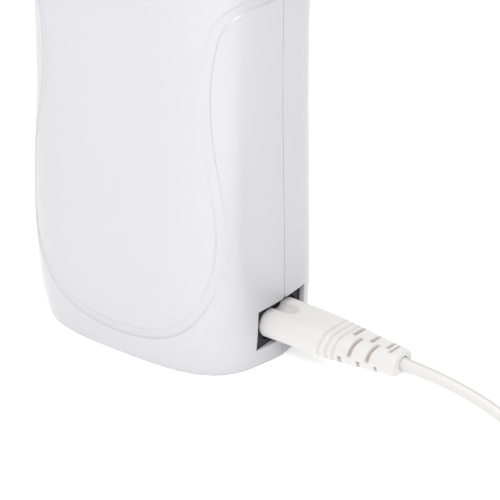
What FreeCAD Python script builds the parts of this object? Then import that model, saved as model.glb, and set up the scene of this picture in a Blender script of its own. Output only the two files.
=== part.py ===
import FreeCAD, Part
import math
import os
from FreeCAD import Vector

# Roll on wax heater with its detachable lead. Millimetres, +Z up. The front faces -Y and the
# mains inlet is on the right side, +X. The origin is the middle of the base of the heater.

# Body: two half shells meet at a flat seam, and each level is half a superellipse.
shell_height = 136.0
wall = 2.2
floor_thickness = 2.5
base_chamfer = 0.9
seam_y = 3.5
# The back is upright. The sides and front tuck in towards the base, and lean in with height.
rear_depth = 20.5
rear_power = 4.7
half_width_limit = 39.2
side_tuck = 2.3
side_lean = 0.0165
front_limit = 28.3
front_tuck = 2.2
tuck_height = 9.0
front_lean = 4.7
front_lean_height = 66.0
front_lean_power = 1.8
# The front's plan is rounder at the base than at the top.
base_power = 3.1
top_power = 4.2
power_height = 35.0
OUTLINE_STEPS = 20
LOFT_STEPS = 12
# Cutters and trimming boxes reach this far, past every side of the body.
reach = 60.0

# Lip of the front shell, in a rabbet of the rear shell, that lines them up along the seam.
lip_height = 1.5
lip_inset = 1.25
lip_thickness = 0.8
lip_gap = 0.15
lip_root = 0.5
rabbet_past = 0.8

# Shallow channel round the hourglass front panel, given by its outer edge on the right half.
channel_width = 3.1
channel_depth = 0.65
CHANNEL_EDGE = (
    (0.0, 7.0),
    (10.0, 8.1),
    (20.0, 12.3),
    (28.2, 20.3),
    (33.0, 31.0),
    (34.3, 43.0),
    (32.4, 61.0),
    (30.0, 78.0),
    (29.6, 90.0),
    (31.3, 101.4),
    (35.2, 108.6),
    (42.0, 109.8),
)

# Housing screws, with their bosses.
screw_x = 31.8
screw_low = 23.6
screw_drop = 10.4
SCREW_LEVELS = (screw_low, shell_height - screw_drop)
boss_radius = 3.1
screw_radius = 1.3
screw_length = 14.0
screw_head_radius = 2.2
screw_head_height = 1.7
screw_head_y = 16.0
screw_bore_gap = 0.25
# Cross recess in every screw head: its width, and its shares of the head's radius and height.
recess_width = 0.5
recess_span = 1.3
recess_share = 0.6

# Wax cartridge well, centred behind the heater plate.
well_width = 54.0
well_inner_depth = 30.6
well_wall = 1.4
well_corner = 6.0
well_floor_z = 28.0
well_floor = 1.5
well_back_gap = 1.0
rear_y = seam_y + rear_depth
well_back_y = rear_y - wall - well_back_gap
well_front_y = well_back_y - well_inner_depth - 2 * well_wall
well_centre_y = (well_back_y + well_front_y) / 2

# Collar that closes the top of the shells and carries the cap.
collar_thickness = 2.5
collar_skirt = 4.0
skirt_thickness = 1.2
skirt_gap = 0.15
spigot_height = 8.5
spigot_wall = 1.6
cap_wall = 1.8
cap_gap = 0.3
cap_height = 37.2
cap_taper = 2.6
cap_edge_radius = 4.0
cap_inset = 0.3
CAP_EDGE_STEPS = 5

# Flange that hangs the well from the collar, and its two screws.
flange_thickness = 2.0
flange_half_width = 32.5
flange_half_depth = 9.0
flange_post_radius = 2.0
flange_post_length = 4.5
collar_screw_x = 30.4
collar_screw_radius = 1.0
collar_screw_length = 6.5
collar_head_radius = 1.75
collar_head_height = 0.9

# Heater on the front wall of the well.
plate_thickness = 1.5
plate_half_width = 24.0
plate_low = 36.0
plate_gap = 5.0
plate_rim = 3.0
pad_gap = 0.2
heater_z = 68.0
ptc_half_width = 11.0
ptc_half_height = 18.0
ptc_thickness = 2.2
clamp_half_height = 7.0
clamp_thickness = 0.6
clamp_foot = 6.5
clamp_side_gap = 1.2
clamp_screw_radius = 1.0
clamp_head_radius = 1.9
clamp_head_height = 0.7
sheet_thickness = 0.6
sheet_half_width = 18.0
sheet_half_height = 20.0
cutoff_radius = 1.5
cutoff_length = 10.0
cutoff_drop = 10.0
clip_thickness = 0.4
clip_width = 5.0
clip_foot = 3.0

# Leaf springs on the back wall of the well.
leaf_x = 17.0
leaf_half_width = 3.0
leaf_thickness = 0.35
leaf_low = 42.0
leaf_drop = 38.0
leaf_rise = 1.3

# Wax level window in the rear shell.
window_half_width = 4.5
window_low = 46.0
window_drop = 32.0
window_gap = 0.08
window_flange = 1.6
window_flange_thickness = 0.8

# Power button, pilot light and control board.
button_drop = 17.5
button_radius = 4.3
button_gap = 0.3
button_proud = 0.9
button_edge_radius = 0.6
button_flange = 0.8
button_flange_thickness = 0.8
button_rest_gap = 0.3
button_travel = 0.6
lens_drop = 8.0
lens_radius = 1.8
lens_gap = 0.05
lens_flange = 0.7
lens_flange_thickness = 0.6
lens_seat_gap = 0.05
board_half_width = 13.0
board_drop = 2.5
board_height = 22.5
board_thickness = 1.0
board_stand = 0.7
board_post_radius = 2.0
board_post_x = 10.5
board_post_inset = 2.5
board_screw_bite = 0.8
board_screw_radius = 0.8
board_head_radius = 1.5
board_head_height = 0.6
switch_half_width = 3.0
switch_height = 1.7
plunger_radius = 1.6
plunger_gap = 0.3
plunger_sunk = 0.2
led_half_width = 1.2
led_half_height = 0.8
led_height = 0.8
lens_stand_off = 0.1
triac_width = 6.5
triac_height = 7.0
triac_thickness = 1.6
triac_x = -8.3
triac_drop = 15.0

# Levels that follow the top of the shells.
button_z = shell_height - button_drop
lens_z = shell_height - lens_drop
board_high = shell_height - board_drop
board_low = board_high - board_height
triac_z = shell_height - triac_drop
plate_high = board_low - plate_gap
cutoff_z = plate_high - cutoff_drop
leaf_high = shell_height - leaf_drop
window_high = shell_height - window_drop

# Mains inlet in an opening that spans the seam.
inlet_y = seam_y - 0.8
inlet_z = 12.6
opening_half_width = 10.9
opening_half_height = 6.2
inlet_sunk = 3.2
inlet_face_x = half_width_limit - inlet_sunk
inlet_flange_thickness = 1.5
inlet_flange_margin = 1.2
inlet_body_half_width = 9.8
inlet_body_half_height = 5.3
inlet_body_length = 18.5
inlet_seat_gap = 0.1
inlet_seat_depth = 3.0
inlet_rib_thickness = 2.0
inlet_rib_root = 0.3
inlet_rib_inset = 1.0
inlet_rib_back = 2.0
pin_spacing = 8.6
pin_radius = 1.2
pin_recess = 1.5
pin_tip_radius = 0.84
pin_tail = 4.0
nose_radius = 3.4
nose_waist = 2.1
nose_gap = 0.25
nose_end_gap = 0.5
nose_length = 14.0
contact_radius = 1.9
contact_gap = 0.05
contact_length = 11.5
contact_stop = 0.5

# Connector: a figure-8 grip that tapers into a slotted strain relief.
grip_x = inlet_face_x + 0.3
valley_radius = 3.2
valley_depth = 2.9
valley_end = 7.0
# Distance from the grip's start, half width and half height of each level.
GRIP_STATIONS = (
    (0.0, 8.2, 4.1),
    (14.0, 8.0, 4.1),
    (21.0, 7.4, 4.05),
    (25.5, 6.9, 3.9),
    (33.5, 5.9, 3.55),
    (41.5, 4.95, 3.3),
    (45.0, 4.6, 3.2),
)
grip_end_radius = 1.2
RING_GROOVES = (20.9, 23.0, 25.2)
ring_groove_width = 0.45
ring_groove_depth = 0.35
slot_count = 6
slot_start = 27.0
slot_pitch = 2.6
slot_width = 1.0
slot_depth = 1.5
# How far the two quarters of a slot start from the axis, across it and above or below it.
slot_lap = 0.5
slot_top_edge = 1.4
slot_low_edge = 1.7
turned_slot_edge = 0.7
turned_slot_lap = 1.2
relief_recess_radius = 2.5
relief_recess_depth = 1.0

# Cord: the free run, a tied coil, and the last stretch to the mains plug.
cord_radius = 1.6
cord_start = Vector(grip_x + GRIP_STATIONS[-1][0] - relief_recess_depth, inlet_y, inlet_z)
CORD_RUN = (
    cord_start,
    Vector(90.0, 2.7, 12.4),
    Vector(100.0, 2.5, 11.0),
    Vector(110.0, 1.7, 7.8),
    Vector(119.5, -0.3, 4.3),
    Vector(128.5, -3.7, 2.5),
    Vector(137.0, -6.6, 2.2),
    Vector(143.5, -7.2, 2.2),
)
coil_centre_x = 146.0
coil_centre_y = 14.0
coil_columns = 3
coil_layers = 4
coil_middle_radius = 18.0
coil_lift = 0.6
coil_edge_radius = 1.5
tie_thickness = 0.6
tie_angle = 100.0
tie_half_span = 11.0

# Flat two-pin mains plug, lying on its side behind the coil.
plug_tail_x = 176.0
plug_y = -5.6
plug_half_width = 17.6
plug_half_height = 6.85
plug_length = 26.0
plug_slope = 8.0
plug_edge_radius = 1.2
plug_tail_length = 9.0
plug_tail_radius = 3.0
plug_tail_flare = 2.0
plug_tail_root = 3.0
plug_pin_spacing = 19.0
plug_pin_radius = 2.0
plug_pin_length = 19.0
plug_pin_tip_radius = 1.2
plug_pin_root_radius = 1.7
plug_pin_root_length = 6.0
CORD_TAIL = (
    Vector(149.0, -7.1, 11.8),
    Vector(158.0, -7.0, 11.2),
    Vector(167.0, -6.1, 8.5),
    Vector(plug_tail_x, plug_y, plug_half_height),
)

# Internal wires, which run up beside the heater plate and stop just short of what they join.
wire_radius = 0.8
wire_end_gap = 0.2
wire_side_gap = 1.8
wire_x = plate_half_width + wire_side_gap + wire_radius
wire_y = well_front_y - 2.0
wire_low = 22.0


def save(name, shape):
    """Write one node, and say so if its solids are not closed and valid."""
    if not shape.isValid() or not shape.Solids:
        print("NOT VALID", name)
    shape.exportStep("parts/%s.step" % name)


def box(x0, x1, y0, y1, z0, z1):
    """A box between two corners."""
    return Part.makeBox(x1 - x0, y1 - y0, z1 - z0, Vector(x0, y0, z0))


def rod(start, direction, radius, length):
    """A round rod from a point along a direction."""
    return Part.makeCylinder(radius, length, start, direction)


def join(shapes):
    """Fuse a list of shapes into one."""
    first = shapes[0]
    return first.multiFuse(shapes[1:]).removeSplitter() if shapes[1:] else first


def rounded_box(x_half, y0, y1, z0, z1, radius):
    """A box with its four upright edges rounded, centred on x = 0."""
    block = box(-x_half, x_half, y0, y1, z0, z1)
    upright = [e for e in block.Edges if abs(e.tangentAt(e.FirstParameter).z) > 0.9]
    return block.makeFillet(radius, upright)


def half_width_at(z):
    """Half the body's width at one level."""
    return half_width_limit - side_tuck * math.exp(-z / tuck_height) - side_lean * z


def depth_at(z, side):
    """How far the body reaches from the seam at one level: side -1 is the front."""
    if side > 0:
        return rear_depth
    lean = front_lean * (1 - math.exp(-((z / front_lean_height) ** front_lean_power)))
    return front_limit - front_tuck * math.exp(-z / tuck_height) - lean


def power_at(z, side):
    """The superellipse power of the plan at one level."""
    if side > 0:
        return rear_power
    return top_power - (top_power - base_power) * math.exp(-z / power_height)


def half_points(z, side, inset, shape_z):
    """Points of half a superellipse at level z, with its size from the level shape_z."""
    power = power_at(shape_z, side)
    points = []
    for step in range(OUTLINE_STEPS + 1):
        angle = math.pi * step / OUTLINE_STEPS
        across = math.copysign(abs(math.cos(angle)) ** (2 / power), math.cos(angle))
        along = side * abs(math.sin(angle)) ** (2 / power)
        x = (half_width_at(shape_z) - inset) * across
        points.append(Vector(x, seam_y + (depth_at(shape_z, side) - inset) * along, z))
    return points


def half_outline(z, side, inset, shape_z):
    """Half a superellipse, closed along the seam."""
    points = half_points(z, side, inset, shape_z)
    curve = Part.BSplineCurve()
    curve.interpolate(
        Points=points, InitialTangent=Vector(0, side, 0), FinalTangent=Vector(0, -side, 0)
    )
    return Part.Wire([curve.toShape(), Part.makeLine(points[-1], points[0])])


def top_outline(z, inset):
    """The whole outline of the body's top, laid at level z."""
    rear = half_points(z, 1, inset, shell_height)
    front = half_points(z, -1, inset, shell_height)
    loop = rear + front[-2:0:-1]
    middle = OUTLINE_STEPS // 2
    curve = Part.BSplineCurve()
    curve.interpolate(Points=loop[middle:] + loop[:middle], PeriodicFlag=True)
    return Part.Wire([curve.toShape()])


def half_body(side, inset=0.0):
    """One half of the body's outer form, drawn in by inset."""
    levels = [shell_height * step / LOFT_STEPS for step in range(LOFT_STEPS + 1)]
    return Part.makeLoft([half_outline(z, side, inset, z) for z in levels], True, False)


def top_outline_solid(levels):
    """A solid with the outline of the body's top, drawn in by an inset at each level."""
    return Part.makeLoft([top_outline(z, inset) for z, inset in levels], True, True)


def base_edge_cutter(side):
    """What a chamfer takes off the base edge of one half."""
    low, high = -1.0, base_chamfer + 0.5
    levels = [half_outline(z, side, base_chamfer - z, base_chamfer) for z in (low, high)]
    y0, y1 = sorted((seam_y, seam_y + side * reach))
    return box(-reach, reach, y0, y1, low, high).cut(Part.makeLoft(levels, True, True))


def hollow_half(side):
    """One shell with its floor, its base edge chamfered, open at the top and along the seam."""
    inner = half_body(side, wall).cut(box(-reach, reach, -reach, reach, -1, floor_thickness))
    return half_body(side).cut(inner).cut(base_edge_cutter(side))


def seam_slab(inset, y0, y1):
    """A slab across the seam, drawn in by inset at both sides and at the base."""
    rise = shell_height - inset
    levels = [inset + rise * step / LOFT_STEPS for step in range(LOFT_STEPS + 1)]
    edges = []
    for side in (-1, 1):
        curve = Part.BSplineCurve()
        curve.interpolate([Vector(side * (half_width_at(z) - inset), y0, z) for z in levels])
        edges.append(curve.toShape())
    for z in (levels[0], levels[-1]):
        x = half_width_at(z) - inset
        edges.append(Part.makeLine(Vector(-x, y0, z), Vector(x, y0, z)))
    face = Part.Face(Part.Wire(Part.__sortEdges__(edges)))
    return face.extrude(Vector(0, y1 - y0, 0))


def seam_lip():
    """The front shell's lip along both sides and the floor, rooted in its wall."""
    y0, y1 = seam_y - lip_root, seam_y + lip_height
    inner = lip_inset + lip_thickness
    return seam_slab(lip_inset, y0, y1).cut(seam_slab(inner, y0 - 1, y1 + 1))


def seam_rabbet():
    """What the rear shell loses to the lip, with its clearance, as far as inside the wall."""
    y1 = seam_y + lip_height + lip_gap
    inner = wall + rabbet_past
    return seam_slab(lip_inset - lip_gap, seam_y, y1).cut(seam_slab(inner, seam_y - 1, y1 + 1))


def channel_cutter():
    """Room outside a form drawn in by the channel's depth, between its two edge lines."""
    right = [Vector(x, 0, z) for x, z in CHANNEL_EDGE]
    edge = [Vector(-p.x, 0, p.z) for p in reversed(right[1:])] + right
    inner = []
    for i, point in enumerate(edge):
        along = edge[min(i + 1, len(edge) - 1)] - edge[max(i - 1, 0)]
        normal = Vector(-along.z, 0, along.x).normalize()
        inner.append(point + normal * channel_width)
    curves = []
    for line in (edge, inner):
        curve = Part.BSplineCurve()
        curve.interpolate(line)
        curves.append(curve.toShape())
    ends = [Part.makeLine(edge[k], inner[k]) for k in (0, -1)]
    outline = Part.Wire(Part.__sortEdges__(curves + ends))
    prism = Part.Face(outline).extrude(Vector(0, -reach, 0))
    prism.translate(Vector(0, seam_y + 1, 0))
    return prism.cut(half_body(-1, channel_depth))


def inlet_opening():
    """The opening for the connector, and the flat seat behind it for the inlet's flange."""
    back = inlet_face_x - inlet_seat_depth
    margin = inlet_flange_margin + inlet_seat_gap
    blocks = []
    for front, more in ((reach, 0), (inlet_face_x + inlet_seat_gap, margin)):
        half_y, half_z = opening_half_width + more, opening_half_height + more
        blocks.append(
            box(back, front, inlet_y - half_y, inlet_y + half_y, inlet_z - half_z, inlet_z + half_z)
        )
    return join(blocks)


def boss_places():
    """Where the four housing screws are."""
    return [(x, z) for z in SCREW_LEVELS for x in (-screw_x, screw_x)]


def inlet_ribs(side):
    """Two ribs that carry the inlet, in the shell on one side of the seam."""
    top = inlet_z - inlet_body_half_height
    y0, y1 = sorted((seam_y, inlet_y + side * (inlet_body_half_width - inlet_rib_inset)))
    back = inlet_face_x - inlet_body_length + inlet_rib_inset
    front = inlet_face_x - inlet_flange_thickness - inlet_rib_thickness - inlet_rib_back
    return [
        box(x, x + inlet_rib_thickness, y0, y1, floor_thickness - inlet_rib_root, top)
        for x in (back, front)
    ]


def boss_rods(side, radius, y0):
    """Round rods along Y at the four screws, from y0 outwards, on one side of the seam."""
    return [rod(Vector(x, y0, z), Vector(0, side, 0), radius, reach) for x, z in boss_places()]


def boss_posts(side):
    """The screw bosses of one shell, from the seam to the middle of its wall."""
    inside = half_body(side, wall / 2)
    return [post.common(inside) for post in boss_rods(side, boss_radius, seam_y)]


def front_hole(radius, z):
    """A round cutter through the front wall at one level."""
    return rod(Vector(0, -reach, z), Vector(0, 1, 0), radius, reach + well_front_y)


def front_shell():
    shell = join([hollow_half(-1)] + boss_posts(-1) + inlet_ribs(-1) + [seam_lip()])
    depth = screw_length - (screw_head_y - seam_y)
    pilots = [
        rod(Vector(x, seam_y + 1, z), Vector(0, -1, 0), screw_radius, depth + 1)
        for x, z in boss_places()
    ]
    cutters = pilots + [
        channel_cutter(),
        inlet_opening(),
        front_hole(button_radius + button_gap, button_z),
        front_hole(lens_radius + lens_gap, lens_z),
    ]
    for cutter in cutters:
        shell = shell.cut(cutter)
    return shell


def window_prism(margin, y0, y1):
    """An upright slot shape, round at both ends, from y0 to y1."""
    radius = window_half_width + margin
    low, high = window_low + window_half_width, window_high - window_half_width
    bar = box(-radius, radius, y0, y1, low, high)
    ends = [rod(Vector(0, y0, z), Vector(0, 1, 0), radius, y1 - y0) for z in (low, high)]
    return join([bar] + ends)


def rear_shell():
    shell = hollow_half(1).cut(seam_rabbet())
    shell = join([shell] + boss_posts(1) + inlet_ribs(1))
    cutters = boss_rods(1, screw_radius + screw_bore_gap, seam_y - 1)
    cutters += boss_rods(1, screw_head_radius + screw_bore_gap, screw_head_y)
    cutters += [inlet_opening(), window_prism(0, rear_y - wall - 1, rear_y + 1)]
    for cutter in cutters:
        shell = shell.cut(cutter)
    return shell


def level_window():
    """Clear window: a pane flush with the back, with a wider flange inside."""
    inside = rear_y - wall
    pane = window_prism(-window_gap, inside - window_flange_thickness, rear_y)
    flange = window_prism(window_flange, inside - window_flange_thickness, inside)
    return join([pane, flange])


def cross_head(top, direction, radius, height):
    """A screw head with a cross recess, its underside at top."""
    head = rod(top, direction, radius, height)
    across = radius * recess_span
    depth = height * recess_share
    recess = []
    for size in ((across, recess_width), (recess_width, across)):
        bar = Part.makeBox(size[0], size[1], depth, Vector(-size[0] / 2, -size[1] / 2, 0))
        bar.Placement = FreeCAD.Placement(
            top + direction * (height - depth), FreeCAD.Rotation(Vector(0, 0, 1), direction)
        ).multiply(bar.Placement)
        recess.append(bar)
    return head.cut(join(recess))


def screw(seat, out, radius, length, head_radius, head_height):
    """A screw whose head sits on seat, with its shank going the other way."""
    shank = rod(seat, out * -1, radius, length)
    return join([shank, cross_head(seat, out, head_radius, head_height)])


def housing_screws():
    return Part.makeCompound([
        screw(Vector(x, screw_head_y, z), Vector(0, 1, 0), screw_radius, screw_length,
              screw_head_radius, screw_head_height)
        for x, z in boss_places()
    ])


def plate_pad_box(margin):
    """The raised middle of the heater plate, or the window for it in the well's wall."""
    return box(
        -plate_half_width + plate_rim - margin, plate_half_width - plate_rim + margin,
        well_front_y, well_front_y + well_wall,
        plate_low + plate_rim - margin, plate_high - plate_rim + margin,
    )


def board_posts():
    """The places of the two posts that carry the board, low left and high right."""
    low, high = board_low + board_post_inset, board_high - board_post_inset
    return [Vector(-board_post_x, well_front_y, low), Vector(board_post_x, well_front_y, high)]


def collar_screw_places():
    return [Vector(side * collar_screw_x, well_centre_y, shell_height) for side in (-1, 1)]


def cartridge_well():
    """Open box for the cartridge, hung from the collar by its flange."""
    top = shell_height
    outer = rounded_box(
        well_width / 2 + well_wall, well_front_y, well_back_y, well_floor_z, top, well_corner
    )
    inner = rounded_box(
        well_width / 2, well_front_y + well_wall, well_back_y - well_wall,
        well_floor_z + well_floor, top + 1, well_corner - well_wall,
    )
    flange = rounded_box(
        flange_half_width, well_centre_y - flange_half_depth, well_centre_y + flange_half_depth,
        top - flange_thickness, top, well_corner,
    )
    posts = [
        rod(place - Vector(0, 0, flange_post_length), Vector(0, 0, 1), flange_post_radius,
            flange_post_length)
        for place in collar_screw_places()
    ]
    stands = [rod(p, Vector(0, -1, 0), board_post_radius, board_stand) for p in board_posts()]
    well = join([outer, flange] + posts + stands).cut(inner)
    well = well.cut(plate_pad_box(pad_gap))
    well = well.cut(window_prism(0, well_back_y - well_wall - 1, well_back_y + 1))
    for place in collar_screw_places():
        bite = collar_screw_length - collar_thickness
        well = well.cut(rod(place, Vector(0, 0, -1), collar_screw_radius, bite))
    for place in board_posts():
        well = well.cut(
            rod(place - Vector(0, board_stand, 0), Vector(0, 1, 0), board_screw_radius,
                board_stand + board_screw_bite)
        )
    return well


def top_ring(z0, z1, inset, thickness):
    """An upright ring that follows the outline of the body's top."""
    inner = inset + thickness
    ring = top_outline_solid(((z0, inset), (z1, inset)))
    return ring.cut(top_outline_solid(((z0 - 1, inner), (z1 + 1, inner))))


def top_collar():
    """Plate on top of the shells, with a skirt inside them and a spigot for the cap."""
    top = shell_height + collar_thickness
    plate = top_outline_solid(((shell_height, 0), (top, 0)))
    leaned = cap_taper * spigot_height / cap_height
    spigot_inset = cap_inset + cap_wall + cap_gap + leaned
    spigot = top_ring(top, top + spigot_height, spigot_inset, spigot_wall)
    skirt = top_ring(shell_height - collar_skirt, shell_height, wall + skirt_gap, skirt_thickness)
    mouth = rounded_box(
        well_width / 2, well_front_y + well_wall, well_back_y - well_wall,
        shell_height - 1, top + 1, well_corner - well_wall,
    )
    clear = rounded_box(
        well_width / 2 + well_wall + skirt_gap, well_front_y - skirt_gap, well_back_y + skirt_gap,
        shell_height - collar_skirt, shell_height, well_corner,
    )
    collar = join([plate, spigot, skirt.cut(clear)]).cut(mouth)
    for place in collar_screw_places():
        collar = collar.cut(rod(place, Vector(0, 0, 1), collar_screw_radius, collar_thickness))
    return collar


def collar_screws():
    lift = Vector(0, 0, collar_thickness)
    return Part.makeCompound([
        screw(place + lift, Vector(0, 0, 1), collar_screw_radius, collar_screw_length,
              collar_head_radius, collar_head_height)
        for place in collar_screw_places()
    ])


def cap_low():
    """The level of the cap's rim when it is on."""
    return shell_height + collar_thickness + cap_gap


def cap_form(bottom, top, inset, radius):
    """The cap's form: sides that taper in, and a rounded top edge."""
    levels = [(bottom, inset + cap_taper * (bottom - cap_low()) / cap_height)]
    for step in range(CAP_EDGE_STEPS + 1):
        angle = math.pi / 2 * step / CAP_EDGE_STEPS
        z = top - radius * (1 - math.sin(angle))
        taper = cap_taper * (z - cap_low()) / cap_height
        levels.append((z, inset + taper + radius * (1 - math.cos(angle))))
    return top_outline_solid(levels)


def cap():
    """Clear cap over the cartridge's head."""
    top = cap_low() + cap_height
    outer = cap_form(cap_low(), top, cap_inset, cap_edge_radius)
    inner_radius = cap_edge_radius - cap_wall
    return outer.cut(cap_form(cap_low() - 1, top - cap_wall, cap_inset + cap_wall, inner_radius))


def plate_back_y():
    """The face of the heater plate that looks away from the cartridge."""
    return well_front_y - plate_thickness


def clamp_feet():
    """The middles of the clamp's two feet on the plate."""
    across = ptc_half_width + clamp_side_gap + clamp_thickness + clamp_foot / 2
    return [Vector(side * across, plate_back_y(), heater_z) for side in (-1, 1)]


def heater_plate():
    plate = box(-plate_half_width, plate_half_width, plate_back_y(), well_front_y,
                plate_low, plate_high)
    plate = join([plate, plate_pad_box(0)])
    for foot in clamp_feet():
        plate = plate.cut(rod(foot, Vector(0, 1, 0), clamp_screw_radius, plate_thickness))
    return plate


def ptc_element():
    y1 = plate_back_y()
    return box(-ptc_half_width, ptc_half_width, y1 - ptc_thickness, y1,
               heater_z - ptc_half_height, heater_z + ptc_half_height)


def heater_clamp():
    """Sheet strap in a hat shape over the element, its feet on the plate."""
    y1 = plate_back_y()
    crown = y1 - ptc_thickness
    inner = ptc_half_width + clamp_side_gap
    outer = inner + clamp_thickness
    z0, z1 = heater_z - clamp_half_height, heater_z + clamp_half_height
    pieces = [box(-outer, outer, crown - clamp_thickness, crown, z0, z1)]
    for side in (-1, 1):
        x0, x1 = sorted((side * inner, side * outer))
        pieces.append(box(x0, x1, crown - clamp_thickness, y1, z0, z1))
        x0, x1 = sorted((side * inner, side * (outer + clamp_foot)))
        pieces.append(box(x0, x1, y1 - clamp_thickness, y1, z0, z1))
    strap = join(pieces)
    for foot in clamp_feet():
        strap = strap.cut(rod(foot, Vector(0, -1, 0), clamp_screw_radius, clamp_thickness))
    return strap


def clamp_screws():
    lift = Vector(0, -clamp_thickness, 0)
    return Part.makeCompound([
        screw(foot + lift, Vector(0, -1, 0), clamp_screw_radius, clamp_thickness + plate_thickness,
              clamp_head_radius, clamp_head_height)
        for foot in clamp_feet()
    ])


def insulation_sheet():
    y1 = plate_back_y() - ptc_thickness - clamp_thickness
    return box(-sheet_half_width, sheet_half_width, y1 - sheet_thickness, y1,
               heater_z - sheet_half_height, heater_z + sheet_half_height)


def cutoff_axis_y():
    return plate_back_y() - cutoff_radius


def thermal_cutoff():
    return rod(Vector(-cutoff_length / 2, cutoff_axis_y(), cutoff_z), Vector(1, 0, 0),
               cutoff_radius, cutoff_length)


def cutoff_clip():
    """Sheet saddle that holds the cut-out on the plate."""
    y1 = plate_back_y()
    x0 = -clip_width / 2
    outer = cutoff_radius + clip_thickness
    arch = rod(Vector(x0, cutoff_axis_y(), cutoff_z), Vector(1, 0, 0), outer, clip_width)
    sides = box(x0, -x0, cutoff_axis_y(), y1, cutoff_z - outer, cutoff_z + outer)
    foot = outer + clip_foot
    feet = box(x0, -x0, y1 - clip_thickness, y1, cutoff_z - foot, cutoff_z + foot)
    start = Vector(x0 - 1, cutoff_axis_y(), cutoff_z)
    bore = rod(start, Vector(1, 0, 0), cutoff_radius, clip_width + 2)
    mouth = box(x0 - 1, 1 - x0, cutoff_axis_y(), y1 + 1,
                cutoff_z - cutoff_radius, cutoff_z + cutoff_radius)
    limit = box(-reach, reach, -reach, y1, 0, cutoff_z + reach)
    return join([arch, sides, feet]).cut(join([bore, mouth])).common(limit).removeSplitter()


def leaf_arc(x, y):
    """A bow from the foot to the head of a leaf spring, with its ends at y."""
    middle = Vector(x, y - leaf_rise, (leaf_low + leaf_high) / 2)
    return Part.Arc(Vector(x, y, leaf_low), middle, Vector(x, y, leaf_high)).toShape()


def cartridge_spring(side):
    """Bowed leaf on the well's back wall, its two ends flat on the wall."""
    back = well_back_y - well_wall
    x0 = side * leaf_x - leaf_half_width
    near = leaf_arc(x0, back - leaf_thickness)
    far = leaf_arc(x0, back)
    ends = [
        Part.makeLine(near.Vertexes[k].Point, far.Vertexes[k].Point) for k in (0, 1)
    ]
    face = Part.Face(Part.Wire(Part.__sortEdges__([near, far] + ends)))
    return face.extrude(Vector(2 * leaf_half_width, 0, 0))


def board_face_y():
    """The board's front face, on which its parts stand."""
    return well_front_y - board_stand - board_thickness


def control_board():
    back = well_front_y - board_stand
    board = box(-board_half_width, board_half_width, board_face_y(), back, board_low, board_high)
    for place in board_posts():
        board = board.cut(
            rod(Vector(place.x, back, place.z), Vector(0, -1, 0), board_screw_radius, board_thickness)
        )
    return board


def board_screws():
    return Part.makeCompound([
        screw(Vector(place.x, board_face_y(), place.z), Vector(0, -1, 0), board_screw_radius,
              board_thickness + board_stand + board_screw_bite, board_head_radius,
              board_head_height)
        for place in board_posts()
    ])


def push_switch():
    half = switch_half_width
    y1 = board_face_y()
    body = box(-half, half, y1 - switch_height, y1, button_z - half, button_z + half)
    depth = plunger_sunk + button_travel + plunger_gap
    hole = rod(Vector(0, y1 - switch_height, button_z), Vector(0, 1, 0),
               plunger_radius + plunger_gap, depth)
    return body.cut(hole)


def front_face_y(z):
    """The outer front of the body at one level, in the middle."""
    return seam_y - depth_at(z, -1)


def button_back_y():
    """The inside of the button's flange, at rest just behind the front wall."""
    wall_y = front_face_y(button_z) + wall
    return wall_y + button_rest_gap + button_flange_thickness


def switch_plunger():
    start = button_back_y()
    length = board_face_y() - switch_height + plunger_sunk - start
    return rod(Vector(0, start, button_z), Vector(0, 1, 0), plunger_radius, length)


def power_button():
    """Round push button with a flange behind the wall and a softly domed face."""
    back = button_back_y()
    front = front_face_y(button_z) - button_proud
    barrel = rod(Vector(0, front, button_z), Vector(0, 1, 0), button_radius, back - front)
    rim = [e for e in barrel.Edges if e.BoundBox.YMax < front + 0.01]
    barrel = barrel.makeFillet(button_edge_radius, rim)
    flange = rod(Vector(0, back - button_flange_thickness, button_z), Vector(0, 1, 0),
                 button_radius + button_flange, button_flange_thickness)
    return join([barrel, flange])


def pilot_led():
    y1 = board_face_y()
    return box(-led_half_width, led_half_width, y1 - led_height, y1,
               lens_z - led_half_height, lens_z + led_half_height)


def led_lens():
    """Light pipe from the lamp on the board to the front, with a flange behind the wall."""
    start = board_face_y() - led_height - lens_stand_off
    front = front_face_y(lens_z)
    pipe = rod(Vector(0, front, lens_z), Vector(0, 1, 0), lens_radius, start - front)
    seat = front_face_y(lens_z - lens_radius - lens_flange) + wall
    flange = rod(Vector(0, seat + lens_seat_gap, lens_z), Vector(0, 1, 0),
                 lens_radius + lens_flange, lens_flange_thickness)
    return join([pipe, flange])


def control_triac():
    """Flat power part that switches the heater."""
    y1 = board_face_y()
    return box(triac_x - triac_width / 2, triac_x + triac_width / 2, y1 - triac_thickness, y1,
               triac_z - triac_height / 2, triac_z + triac_height / 2)


def lobes(x0, x1, gap):
    """The nose's figure-8 form along X, larger by gap all round."""
    spots = [inlet_y - pin_spacing / 2, inlet_y + pin_spacing / 2]
    rods = [rod(Vector(x0, y, inlet_z), Vector(1, 0, 0), nose_radius + gap, x1 - x0) for y in spots]
    half = nose_waist + gap
    return join(rods + [box(x0, x1, spots[0], spots[1], inlet_z - half, inlet_z + half)])


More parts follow.
